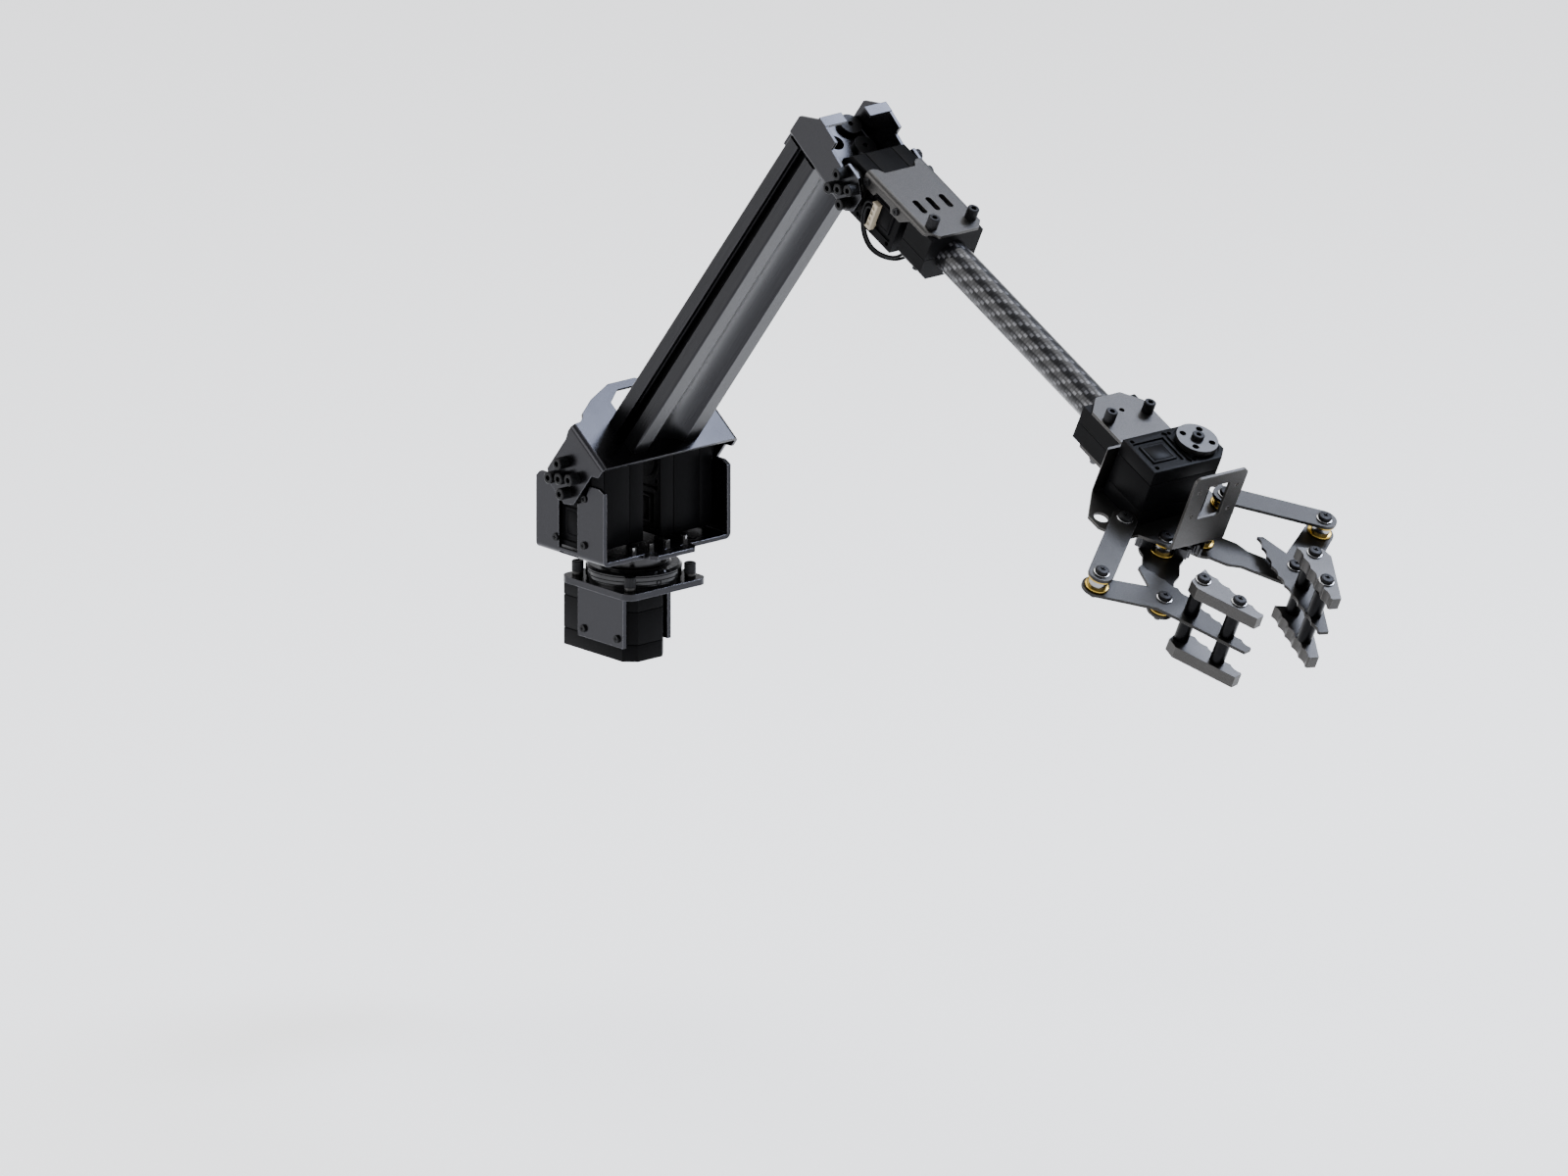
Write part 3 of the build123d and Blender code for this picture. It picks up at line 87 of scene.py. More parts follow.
# Fasteners and pivots, in millimetres
HEAD_RADIUS = 2.75
SHANK_RADIUS = 1.5
SOCKET_RADIUS = 1.44
HOLE_RADIUS = 1.6
WASHER_THICK = 0.5
RING_THICK = 1.1
RING_GAP = 0.08
CORE_GAP = 0.05
DECK_SPACER = 2.0
SCREW_TAIL = 2.6
NUT_RADIUS = 3.1
COLLAR_TOP = 2.5


def axes(origin, along, up):
    """Matrix of a frame in metres, from its origin in millimetres and its x and z directions."""
    x, z = Vector(along).normalized(), Vector(up).normalized()
    y = z.cross(x)
    turn = Matrix((x, y, z)).transposed().to_4x4()
    return Matrix.Translation(Vector(origin) * MM) @ turn


upper, drop = radians(UPPER_PITCH), radians(FOREARM_DROP)
ROW = axes((0, 0, 0), (1, 0, 0), (0, 0, 1))
ARM = axes((0, 0, SHOULDER_HEIGHT), (cos(upper), 0, sin(upper)), (-sin(upper), 0, cos(upper)))
elbow = ARM @ Vector((ELBOW_ALONG * MM, 0, -ELBOW_DROP * MM))
FORE = axes(elbow / MM, (cos(drop), 0, -sin(drop)), (sin(drop), 0, cos(drop)))

FACING = {
    "up": Matrix.Identity(4),
    "down": Matrix.Rotation(pi, 4, "X"),
    "left": Matrix.Rotation(-pi / 2, 4, "X"),
    "right": Matrix.Rotation(pi / 2, 4, "X"),
}


def spot(base, place, facing="up", turn=0.0):
    """Matrix that stands a model, made along +Z, at a place in a frame, facing one of its sides."""
    shift = Matrix.Translation(Vector(place) * MM)
    return base @ shift @ FACING[facing] @ Matrix.Rotation(radians(turn), 4, "Z")


# Camera, floor and light


def set_camera():
    """Stands the camera where the photograph was taken from, with no perspective to speak of."""
    azimuth, elevation = radians(CAMERA_AZIMUTH), radians(CAMERA_ELEVATION)
    back = Vector((sin(azimuth) * cos(elevation), -cos(azimuth) * cos(elevation), sin(elevation)))
    bpy.ops.object.camera_add(location=(Vector(CAMERA_AIM) + back * CAMERA_DISTANCE) * MM)
    camera = bpy.context.object
    camera.rotation_euler = back.to_track_quat("Z", "Y").to_euler()
    camera.data.type = "ORTHO"
    camera.data.ortho_scale = CAMERA_SPAN * MM
    camera.data.clip_end = 60.0
    bpy.context.scene.camera = camera


def set_floor():
    """Lays the pale floor below all that the gripper reaches, as the arm is mounted high on a deck."""
    bpy.ops.mesh.primitive_plane_add(size=40.0, location=(0, 0, FLOOR_HEIGHT * MM))
    floor = bpy.context.object
    floor.name = "floor"
    pale = Finish("pale_floor", (0.9, 0.9, 0.9), {"Roughness": 0.8, "Specular IOR Level": 0.0})
    pale.wear(Emission_Color=(1, 1, 1, 1), Emission_Strength=0.9)
    floor.data.materials.append(pale.material)


def softbox(name, aim_from, size, power, tint=(1, 1, 1)):
    """One large square light that looks at the arm from a direction, in metres."""
    place = Vector(LIGHT_AIM) * MM + Vector(aim_from)
    bpy.ops.object.light_add(type="AREA", location=place)
    light = bpy.context.object
    light.name = name
    light.rotation_euler = Vector(aim_from).to_track_quat("Z", "Y").to_euler()
    light.data.shape = "RECTANGLE"
    light.data.size, light.data.size_y = size
    light.data.energy = power
    light.data.color = tint


def set_light():
    """Soft studio light: a box on the left, a small bluish one behind, one above, and a pale surround."""
    world = bpy.data.worlds.new("studio")
    bpy.context.scene.world = world
    world.use_nodes = True
    tree = world.node_tree
    background = tree.nodes["Background"]
    coordinates = tree.nodes.new("ShaderNodeTexCoord")
    split = tree.nodes.new("ShaderNodeSeparateXYZ")
    ramp = tree.nodes.new("ShaderNodeValToRGB")
    tree.links.new(coordinates.outputs["Generated"], split.inputs[0])
    tree.links.new(split.outputs["Z"], ramp.inputs[0])
    tree.links.new(ramp.outputs[0], background.inputs["Color"])
    stops = ramp.color_ramp.elements
    stops[0].position, stops[0].color = 0.0, (0.95, 0.95, 0.97, 1)
    stops[1].position, stops[1].color = 1.0, (0.75, 0.77, 0.82, 1)
    for place, shade in ((0.12, 0.62), (0.35, 0.30), (0.7, 0.42)):
        stop = stops.new(place)
        stop.color = (shade, shade, shade * 1.04, 1)
    background.inputs["Strength"].default_value = 1.2
    softbox("left_box", (-0.9, -1.9, 1.1), (1.6, 1.6), 36)
    softbox("back_box", (0.22, 0.93, 1.13), (0.5, 0.5), 24, (0.72, 0.8, 1.0))
    softbox("top_box", (-0.5, 0.5, 2.2), (1.8, 1.4), 34)


# Materials, as plain arithmetic on shader nodes


class Signal:
    """A value on its way through a material's nodes, which takes part in plain arithmetic."""

    def __init__(self, finish, socket):
        self.finish = finish
        self.socket = socket

    def maths(self, operation, *values):
        return self.finish.node("Math", {"operation": operation}, dict(enumerate(values)))

    def __add__(self, other):
        return self.maths("ADD", self, other)

    def __sub__(self, other):
        return self.maths("SUBTRACT", self, other)

    def __rsub__(self, other):
        return self.maths("SUBTRACT", other, self)

    def __mul__(self, other):
        return self.maths("MULTIPLY", self, other)

    def __mod__(self, other):
        return self.maths("FLOORED_MODULO", self, other)

    def __gt__(self, other):
        return self.maths("GREATER_THAN", self, other)

    def floor(self):
        return self.maths("FLOOR", self)

    def sine(self):
        return self.maths("SINE", self)

    def around(self, other):
        return self.maths("ARCTAN2", self, other)

    def sharpened(self, low, high):
        """The value stretched so that low gives 0 and high gives 1."""
        return self.finish.node("MapRange", {}, {"Value": self, "From Min": low, "From Max": high})

    __radd__ = __add__
    __rmul__ = __mul__


class Finish:
    """A material for one finish: a Principled shader with fixed values, and nodes for what varies."""

    def __init__(self, name, colour, fixed):
        self.material = bpy.data.materials.new(name)
        self.material.use_nodes = True
        self.tree = self.material.node_tree
        self.shader = self.tree.nodes["Principled BSDF"]
        self.colour = (*colour, 1.0)
        self.shader.inputs["Base Color"].default_value = self.colour
        for socket, value in fixed.items():
            self.shader.inputs[socket].default_value = value

    def node(self, kind, settings, sockets, output=0):
        made = self.tree.nodes.new("ShaderNode" + kind)
        for name, value in settings.items():
            setattr(made, name, value)
        for name, value in sockets.items():
            self.feed(made.inputs[name], value)
        return Signal(self, made.outputs[output])

    def feed(self, socket, value):
        if isinstance(value, Signal):
            self.tree.links.new(value.socket, socket)
        else:
            socket.default_value = value

    def place(self, frame_turn=(0, 0, 0), centre=(0, 0, 0), stretch=(1, 1, 1)):
        """Object coordinates seen from a frame's centre, turned into it and then stretched."""
        here = self.node("TexCoord", {}, {}, "Object")
        moved = self.node("VectorMath", {"operation": "SUBTRACT"}, {0: here, 1: centre})
        turned = self.node(
            "VectorRotate", {"rotation_type": "EULER_XYZ", "invert": True}, {"Vector": moved, "Rotation": frame_turn}
        )
        return self.node("VectorMath", {"operation": "MULTIPLY"}, {0: turned, 1: stretch})

    def noise(self, where, size, detail=2.0, roughness=0.5):
        """Noise between 0 and 1 whose features are about a size across, in millimetres."""
        sockets = {"Vector": where, "Scale": 1 / (size * MM), "Detail": detail, "Roughness": roughness}
        return self.node("TexNoise", {}, sockets)

    def blend(self, factor, first, second):
        sockets = {0: factor, 6: first, 7: second}
        return self.node("Mix", {"data_type": "RGBA"}, sockets, 2)

    def shade(self, amount):
        """The finish's own colour made lighter or darker."""
        return tuple(channel * amount for channel in self.colour[:3]) + (1.0,)

    def rounding(self, radius):
        """Normal of a surface whose edges are broken by a radius in millimetres."""
        return self.node("Bevel", {"samples": 4}, {"Radius": radius * MM})

    def edges(self, radius):
        """Rounded normal of a broken edge, and a mask that is 1 on it."""
        rounded = self.rounding(radius)
        flat = self.node("NewGeometry", {}, {}, "Normal")
        likeness = self.node("VectorMath", {"operation": "DOT_PRODUCT"}, {0: rounded, 1: flat}, "Value")
        return rounded, likeness.sharpened(0.995, 0.9)

    def bump(self, height, depth, strength=1.0, normal=None):
        """Normal of a surface raised by height, a value from 0 to 1, over a depth in millimetres."""
        sockets = {"Height": height, "Distance": depth * MM, "Strength": strength}
        if normal:
            sockets["Normal"] = normal
        return self.node("Bump", {}, sockets)

    def wear(self, **sockets):
        for name, value in sockets.items():
            self.feed(self.shader.inputs[name.replace("_", " ")], value)


def sheet_finish(name, colour, roughness, grain, metallic, painted_highlight_gain):
    """Coated sheet metal: fine grain, soft cloudy sheen and a painted highlight along its broken edges."""
    made = Finish(name, colour, {"Metallic": metallic, "Specular IOR Level": 0.4})
    where = made.place()
    fine = made.noise(where, 0.35, 3.0)
    cloud = made.noise(where, 14.0, 2.0)
    rounded, edge = made.edges(0.35)
    speckled = made.blend(fine.sharpened(0.3, 0.7), made.shade(1 - grain), made.shade(1 + grain))
    # Painted highlight: on the edge mask the colour turns lighter by the highlight gain, standing in for light
    # caught by the broken edges.
    made.wear(
        Base_Color=made.blend(edge * 0.7, speckled, made.shade(painted_highlight_gain)),
        Roughness=roughness + (cloud - 0.5) * 0.12 + (fine - 0.5) * 0.15,
        Normal=made.bump(fine, 0.02, grain * 2, rounded),
    )
    return made.material


def moulded_finish(name, colour, roughness, texture, shine):
    """Moulded plastic with a spark-eroded grain and slightly shinier edges."""
    made = Finish(name, colour, {"Specular IOR Level": shine})
    where = made.place()
    fine = made.noise(where, 0.25, 2.0)
    patch = made.noise(where, 9.0, 3.0)
    rounded, edge = made.edges(0.3)
    made.wear(
        Base_Color=made.blend(patch.sharpened(0.35, 0.7), made.colour, made.shade(1.35)),
        Roughness=roughness + (patch - 0.5) * 0.14 - edge * 0.1,
        Normal=made.bump(fine, 0.03, texture, rounded),
    )
    return made.material


def turned_finish(name, colour, roughness, centre_turn=(0, 0, 0)):
    """Turned metal: fine rings round the piece's axis."""
    groove = 0.12
    made = Finish(name, colour, {"Metallic": 1.0})
    where = made.place(centre_turn)
    height = made.node("SeparateXYZ", {}, {0: where}, 2)
    rings = (height * (2 * pi / (groove * MM))).sine() * 0.5 + 0.5
    smear = made.noise(where, 3.0, 2.0)
    made.wear(
        Base_Color=made.blend(smear.sharpened(0.3, 0.8), made.shade(0.82), made.colour),
        Roughness=roughness + rings * 0.06 + (smear - 0.5) * 0.1,
        Normal=made.bump(rings, 0.01, 0.25, made.rounding(0.2)),
    )
    return made.material


def extruded_finish():
    """Black anodised extrusion with faint die lines along the upper arm, and a painted highlight along its edges."""
    made = Finish("anodised_black", (0.02, 0.02, 0.0215), {"Metallic": 1.0})
    where = made.place((0, -upper, 0), stretch=(0.02, 1, 1))
    lines = made.noise(where, 0.5, 3.0, 0.6)
    broad = made.noise(made.place(), 25.0, 2.0)
    rounded, edge = made.edges(0.3)
    streaked = made.blend(lines.sharpened(0.25, 0.75), made.shade(0.8), made.shade(1.15))
    # Painted highlight: the colour turns six times lighter on the edge mask, standing in for light caught by the
    # edges.
    made.wear(
        Base_Color=made.blend(edge * 0.6, streaked, made.shade(6.0)),
        Roughness=0.3 + (lines - 0.5) * 0.16 + (broad - 0.5) * 0.08,
        Normal=made.bump(lines, 0.012, 0.35, rounded),
    )
    return made.material


def carbon_finish():
    """Twill carbon weave under clear lacquer, laid round the forearm tube, with a painted sheen along the crowns of
    its threads.
    """
    thread = 2.1
    wraps = 24
    repeat = 4
    lacquer = {"Coat Weight": 1.0, "Coat Roughness": 0.06, "Coat IOR": 1.22, "Specular IOR Level": 0.1}
    made = Finish("carbon_twill", (0.006, 0.006, 0.0065), lacquer)
    where = made.place((0, drop, 0), tuple(elbow))
    along = made.node("SeparateXYZ", {}, {0: where}, 0) * (1 / (thread * MM))
    side = made.node("SeparateXYZ", {}, {0: where}, 1)
    height = made.node("SeparateXYZ", {}, {0: where}, 2)
    around = height.around(side) * (wraps / (2 * pi))
    step = along.floor() + around.floor()
    over = (step % repeat) > 1.5
    warp = ((along % 1) * pi).sine()
    weft = ((around % 1) * pi).sine()
    crown = warp * over + weft * (1 - over)
    # Painted sheen: the crowns of the threads are coloured lighter, more on every other crossing thread, in place of
    # their reflection.
    painted_sheen = ((step % 2) * 0.5 + 0.25) * crown
    lit = made.blend(painted_sheen, made.colour, (0.14, 0.14, 0.15, 1))
    made.wear(
        Base_Color=made.blend(over, lit, made.blend(crown * 0.35, made.colour, (0.03, 0.03, 0.032, 1))),
        Roughness=0.42 - crown * 0.12,
        Metallic=0.35 + over * 0.3,
        Normal=made.bump(crown, 0.05, 0.35),
    )
    return made.material


def screw_finish(name, colour, roughness):
    """Black oxide steel with a painted highlight on its edges, broken up in random patches."""
    made = Finish(name, colour, {"Metallic": 0.9})
    where = made.place()
    patch = made.noise(where, 1.2, 3.0)
    rounded, edge = made.edges(0.15)
    # Painted highlight: the colour turns five times lighter where the edge mask meets the random patches.
    made.wear(
        Base_Color=made.blend(edge * patch, made.colour, made.shade(5.0)),
        Roughness=roughness + (patch - 0.5) * 0.2,
        Normal=made.bump(patch, 0.01, 0.2, rounded),
    )
    return made.material


def wire_finish():
    """Black insulation with a faint lengthwise mottling."""
    made = Finish("wire_black", (0.004, 0.004, 0.0045), {"Specular IOR Level": 0.1})
    patch = made.noise(made.place(), 0.8, 2.0)
    made.wear(Roughness=0.32 + patch * 0.15, Normal=made.bump(patch, 0.02, 0.2))
    return made.material


FORE_TURN = (0, drop, 0)
SLOTS = {}


def make_finishes():
    """One material for each slot of the record."""
    # The last number of each sheet finish is the gain of its painted edge highlight.
    SLOTS["satin_sheet"] = sheet_finish("satin_sheet", (0.026, 0.026, 0.0285), 0.25, 0.12, 1.0, 7.0)
    SLOTS["grey_plate"] = sheet_finish("grained_plate", (0.046, 0.0445, 0.043), 0.4, 0.34, 0.95, 3.2)
    SLOTS["jaw_dark"] = sheet_finish("jaw_plate", (0.05, 0.0485, 0.047), 0.4, 0.28, 0.95, 3.0)
    SLOTS["linkage"] = sheet_finish("linkage_plate", (0.026, 0.0252, 0.0243), 0.38, 0.34, 0.95, 4.0)
    SLOTS["servo_plastic"] = moulded_finish("servo_black", (0.0022, 0.0022, 0.0025), 0.36, 0.25, 0.03)
    SLOTS["clamp_black"] = moulded_finish("clamp_black", (0.003, 0.003, 0.0033), 0.42, 0.2, 0.035)
    SLOTS["plug_beige"] = moulded_finish("plug_beige", (0.3, 0.26, 0.19), 0.4, 0.15, 0.3)
    SLOTS["column_black"] = turned_finish("column_black", (0.009, 0.009, 0.0096), 0.27, FORE_TURN)
    SLOTS["ring_chrome"] = turned_finish("ring_chrome", (0.038, 0.038, 0.039), 0.07)
    SLOTS["pillar_chrome"] = turned_finish("pillar_chrome", (0.3, 0.3, 0.3), 0.14)
    SLOTS["bush_brass"] = turned_finish("bush_brass", (0.5, 0.34, 0.075), 0.2, FORE_TURN)
    SLOTS["core_chrome"] = turned_finish("core_chrome", (0.3, 0.3, 0.305), 0.16, FORE_TURN)
    SLOTS["horn_satin"] = sheet_finish("horn_satin", (0.042, 0.0415, 0.041), 0.32, 0.1, 0.95, 4.0)
    SLOTS["gear_steel"] = sheet_finish("gear_steel", (0.035, 0.035, 0.037), 0.3, 0.15, 0.95, 4.0)
    SLOTS["steel_nut"] = screw_finish("nut_dark", (0.06, 0.06, 0.062), 0.3)
    SLOTS["black_screw"] = screw_finish("screw_black", (0.011, 0.011, 0.0118), 0.45)
    SLOTS["anodised"] = extruded_finish()
    SLOTS["carbon"] = carbon_finish()
    SLOTS["wire_black"] = wire_finish()


LINKAGE = {f"{hand}_{plate}" for hand in ("right", "left") for plate in ("link", "crank", "finger_plate")}


def dress_nodes():
    """Gives every part of the frame the finish of its slot, and the thin linkage plates a darker one."""
    for part in frame["record"]["subparts"]:
        node = frame["nodes"][part["node"]]
        finish = "linkage" if part["node"] in LINKAGE else part["material_slot"]
        for slot in node.material_slots:
            slot.link = "OBJECT"
            slot.material = SLOTS[finish]


# Modelling helpers


def deselect():
    if bpy.context.object and bpy.context.object.mode != "OBJECT":
        bpy.ops.object.mode_set(mode="OBJECT")
    bpy.ops.object.select_all(action="DESELECT")


def pick(piece, test):
    """In edit mode, selects the faces whose centre and normal pass the test."""
    shape = bmesh.from_edit_mesh(piece.data)
    for face in shape.faces:
        face.select = bool(test(face.calc_center_median(), face.normal))
    shape.select_flush(True)
    bmesh.update_edit_mesh(piece.data)


def edit(piece):
    deselect()
    piece.select_set(True)
    bpy.context.view_layer.objects.active = piece
    bpy.ops.object.mode_set(mode="EDIT")
    bpy.ops.mesh.select_mode(type="FACE")
    bpy.ops.mesh.select_all(action="DESELECT")


def disc(radius, low, high, sides=36, place=(0, 0)):
    """A plain cylinder along +Z between two heights, in millimetres, as the start of a turned model."""
    deselect()
    bpy.ops.mesh.primitive_cylinder_add(
        vertices=sides,
        radius=radius * MM,
        depth=(high - low) * MM,
        location=(place[0] * MM, place[1] * MM, (low + high) / 2 * MM),
    )
    piece = bpy.context.object
    bpy.ops.object.transform_apply()
    return piece


def block(low, high, turn=0.0):
    """A plain box between two corners, in millimetres, turned about +Z through its own middle."""
    deselect()
    middle = [(a + b) / 2 * MM for a, b in zip(low, high)]
    bpy.ops.mesh.primitive_cube_add(size=1.0, location=middle, rotation=(0, 0, radians(turn)))
    piece = bpy.context.object
    piece.scale = [(b - a) * MM for a, b in zip(low, high)]
    bpy.ops.object.transform_apply()
    return piece


def cut(piece, tool):
    """Takes a tool's shape out of a piece and deletes the tool."""
    deselect()
    bpy.context.view_layer.objects.active = piece
    piece.select_set(True)
    hollow = piece.modifiers.new("cut", "BOOLEAN")
    hollow.operation = "DIFFERENCE"
    hollow.object = tool
    bpy.ops.object.modifier_apply(modifier=hollow.name)
    bpy.data.objects.remove(tool)


def soften(piece, width, segments=2):
    """Rounds a model's sharp edges by a width in millimetres."""
    deselect()
    bpy.context.view_layer.objects.active = piece
    piece.select_set(True)
    rounding = piece.modifiers.new("soften", "BEVEL")
    rounding.width = width * MM
    rounding.segments = segments
    rounding.limit_method = "ANGLE"
    rounding.angle_limit = radians(40)
    bpy.ops.object.modifier_apply(modifier=rounding.name)
    bpy.ops.object.shade_smooth_by_angle(angle=radians(35))


def join(name, parts):
    """Joins parts into one piece under a name."""
    deselect()
    for part in parts:
        part.select_set(True)
    bpy.context.view_layer.objects.active = parts[0]
    if len(parts) > 1:
        bpy.ops.object.join()
    piece = bpy.context.object
    piece.name = name
    piece.data.name = name
    return piece


def copies(name, model, matrices, body, slot, *nodes):
    """Copies of a model at their places, joined as one piece that rides on a body."""
    parts = []
    for matrix in matrices:
        part = model.copy()
        part.data = model.data.copy()
        part.data.transform(matrix)
        bpy.context.collection.objects.link(part)
        parts.append(part)
    piece = join(name, parts)
    piece.data.materials.clear()
    piece.data.materials.append(SLOTS[slot])
    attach(piece, body)
    if nodes:
        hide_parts(*nodes)
    return piece


# Fastener models, each along +Z from the face that it bears on


def cap_screw_model(reach, head=4.8, radius=HEAD_RADIUS):
    """Socket cap screw with a knurled head, a chamfered rim and a hexagon socket."""
    flutes = 30
    socket_depth = 2.0
    piece = disc(radius, 0, head, 2 * flutes)
    edit(piece)
    shape = bmesh.from_edit_mesh(piece.data)
    for face in shape.faces:
        face.select = abs(face.normal.z) < 0.1 and face.index % 2 == 0
    bmesh.update_edit_mesh(piece.data)
    bpy.ops.mesh.inset(thickness=0.06 * MM, depth=-0.1 * MM, use_individual=True)
    pick(piece, lambda centre, normal: normal.z > 0.9)
    bpy.ops.mesh.inset(thickness=0.45 * MM)
    bpy.ops.transform.translate(value=(0, 0, 0.3 * MM))
    bpy.ops.object.mode_set(mode="OBJECT")
    cut(piece, disc(SOCKET_RADIUS, head - socket_depth, head + socket_depth, 6))
    piece = join("cap_screw", [piece, disc(SHANK_RADIUS, -reach, 0.0, 20)])
    bpy.ops.object.shade_smooth_by_angle(angle=radians(28))
    return piece


def pan_screw_model(reach):
    """Pan screw with a domed rim and a cross recess."""
    piece = disc(3.25, 0, 0.8, 32)
    edit(piece)
    pick(piece, lambda centre, normal: normal.z > 0.9)
    for rise, shrink in ((0.4, 0.96), (0.3, 0.9), (0.12, 0.78)):
        bpy.ops.mesh.extrude_region_move(TRANSFORM_OT_translate={"value": (0, 0, rise * MM)})
        bpy.ops.transform.resize(value=(shrink, shrink, 1))
    bpy.ops.object.mode_set(mode="OBJECT")
    for turn in (0, 90):
        blade = disc(1.75, 0.8, 3.0, 4)
        edit(blade)
        bpy.ops.mesh.select_all(action="SELECT")
        bpy.ops.transform.rotate(value=radians(45 + turn), orient_axis="Z", center_override=(0, 0, 0))
        wide = (1.0, 0.32, 1) if turn else (0.32, 1.0, 1)
        bpy.ops.transform.resize(value=wide)
        bpy.ops.object.mode_set(mode="OBJECT")
        cut(piece, blade)
    piece = join("pan_screw", [piece, disc(SHANK_RADIUS, -reach, 0.0, 20)])
    bpy.ops.object.shade_smooth_by_angle(angle=radians(30))
    return piece


def washer_model():
    """Bright washer under a pan screw's head, with a bevelled rim."""
    piece = disc(3.9, 0, WASHER_THICK, 40)
    cut(piece, disc(HOLE_RADIUS, -1.0, 2.0, 24))
    soften(piece, 0.15)
    return piece


def bush_model(height):
    """Turned core of a pivot, waisted between its two flange rings."""
    piece = disc(4.9, 0, height, 40)
    edit(piece)
    pick(piece, lambda centre, normal: abs(normal.z) < 0.1)
    bpy.ops.mesh.inset(thickness=min(1.5, height * 0.24) * MM, depth=-0.5 * MM)
    bpy.ops.object.mode_set(mode="OBJECT")
    cut(piece, disc(HOLE_RADIUS, -1.0, height + 1.0, 24))
    soften(piece, 0.12)
    return piece


def flange_ring_model():
    """Brass flange ring of a pivot, domed at its rim."""
    piece = disc(5.75, 0, RING_THICK, 48)
    cut(piece, disc(1.62, -1.0, 2.0, 24))
    soften(piece, 0.42, 3)
    return piece


def nut_model():
    """Lock nut with chamfered corners, a rounded collar and the screw's pointed end."""
    point_length = 1.3
    piece = disc(NUT_RADIUS, 0, 1.7, 6)
    collar = disc(2.5, 1.6, COLLAR_TOP, 32)
    edit(collar)
    pick(collar, lambda centre, normal: normal.z > 0.9)
    bpy.ops.transform.resize(value=(0.78, 0.78, 1))
    bpy.ops.object.mode_set(mode="OBJECT")
    bore = disc(1.55, -1.0, 4.0, 24)
    soften(piece, 0.3)
    piece = join("nut", [piece, collar])
    cut(piece, bore)
    point = disc(SHANK_RADIUS, 1.2, 2.7, 20)
    edit(point)
    pick(point, lambda centre, normal: normal.z > 0.9)
    bpy.ops.mesh.extrude_region_move(TRANSFORM_OT_translate={"value": (0, 0, point_length * MM)})
    bpy.ops.transform.resize(value=(0.3, 0.3, 1))
    bpy.ops.object.mode_set(mode="OBJECT")
    return join("nut", [piece, point])


# The elbow's plug and wires


OUTER_ROUTE = [
    (16.5, -16.8, 2.7),
    (11.4, -16.8, 2.7),
    (11.9, -16.8, -6.0),
    (15.5, -16.8, -14.0),
    (23.0, -16.5, -18.6),
    (31.0, -13.5, -18.6),
    (35.25, -6.5, -17.5),
    (35.25, -0.8, -12.0),
    (35.25, -0.6, -1.0),
    (42.45, 0.4, -1.0),
]
INNER_ROUTE = [
    (16.5, -16.8, 0.15),
    (13.1, -16.8, 0.15),
    (13.6, -16.8, -5.6),
    (16.6, -16.8, -12.6),
    (23.5, -16.5, -16.9),
    (30.4, -14.5, -16.9),
    (35.25, -10.0, -15.7),
    (35.25, -4.6, -10.6),
    (35.25, -4.0, -1.8),
    (42.45, -3.0, -1.8),
]
WIRE_RADIUS = 0.7


def add_wires():
    """The two wires that leave the elbow servo's plug, loop under it and go back into the forearm tube."""
    wires = [
        ("outer_elbow_wire", OUTER_ROUTE, 0.069, [add_plug()]),
        ("inner_elbow_wire", INNER_ROUTE, 0.058, []),
    ]
    for name, route, length, with_pieces in wires:
        deselect()
        points = [FORE @ (Vector(place) * MM) for place in route]
        curve = bpy.data.curves.new(name + "_line", "CURVE")
        curve.dimensions = "3D"
        spline = curve.splines.new("NURBS")
        spline.points.add(len(points) - 1)
        for point, place in zip(spline.points, points):
            point.co = (*place, 1.0)
        spline.order_u = 3
        spline.use_endpoint_u = True
        spline.resolution_u = 12
        curve.bevel_depth = WIRE_RADIUS * MM
        curve.bevel_resolution = 5
        curve.use_fill_caps = True
        wire = bpy.data.objects.new(name + "_line", curve)
        bpy.context.collection.objects.link(wire)
        wire.data.materials.append(SLOTS["wire_black"])
        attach(wire, "forearm")
        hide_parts(name)


# Servos

SERVO_HALF = 15.5
SERVO_SIDE = 12.35
SERVO_REAR, SERVO_FRONT = -11.2, 34.0
SERVO_CORNER = 5.0
SERVO_HOLES = [(along, side * 9.6) for along in (8.5, 30.5) for side in (-1, 1)]


def servo_block(low, high, inset=0.0):
    """The servo case's outline between two heights, with the horn end's corners cut."""
    side = SERVO_SIDE - inset
    piece = block((SERVO_REAR + inset, -side, low), (SERVO_FRONT - inset, side, high))
    reach = 8.0
    for hand in (-1, 1):
        middle = Vector((SERVO_REAR + inset + SERVO_CORNER / 2, hand * (side - SERVO_CORNER / 2)))
        middle += Vector((-1, hand)).normalized() * reach
        corner = (middle.x - reach, middle.y - reach, low - 1), (middle.x + reach, middle.y + reach, high + 1)
        cut(piece, block(*corner, 45))
    return piece


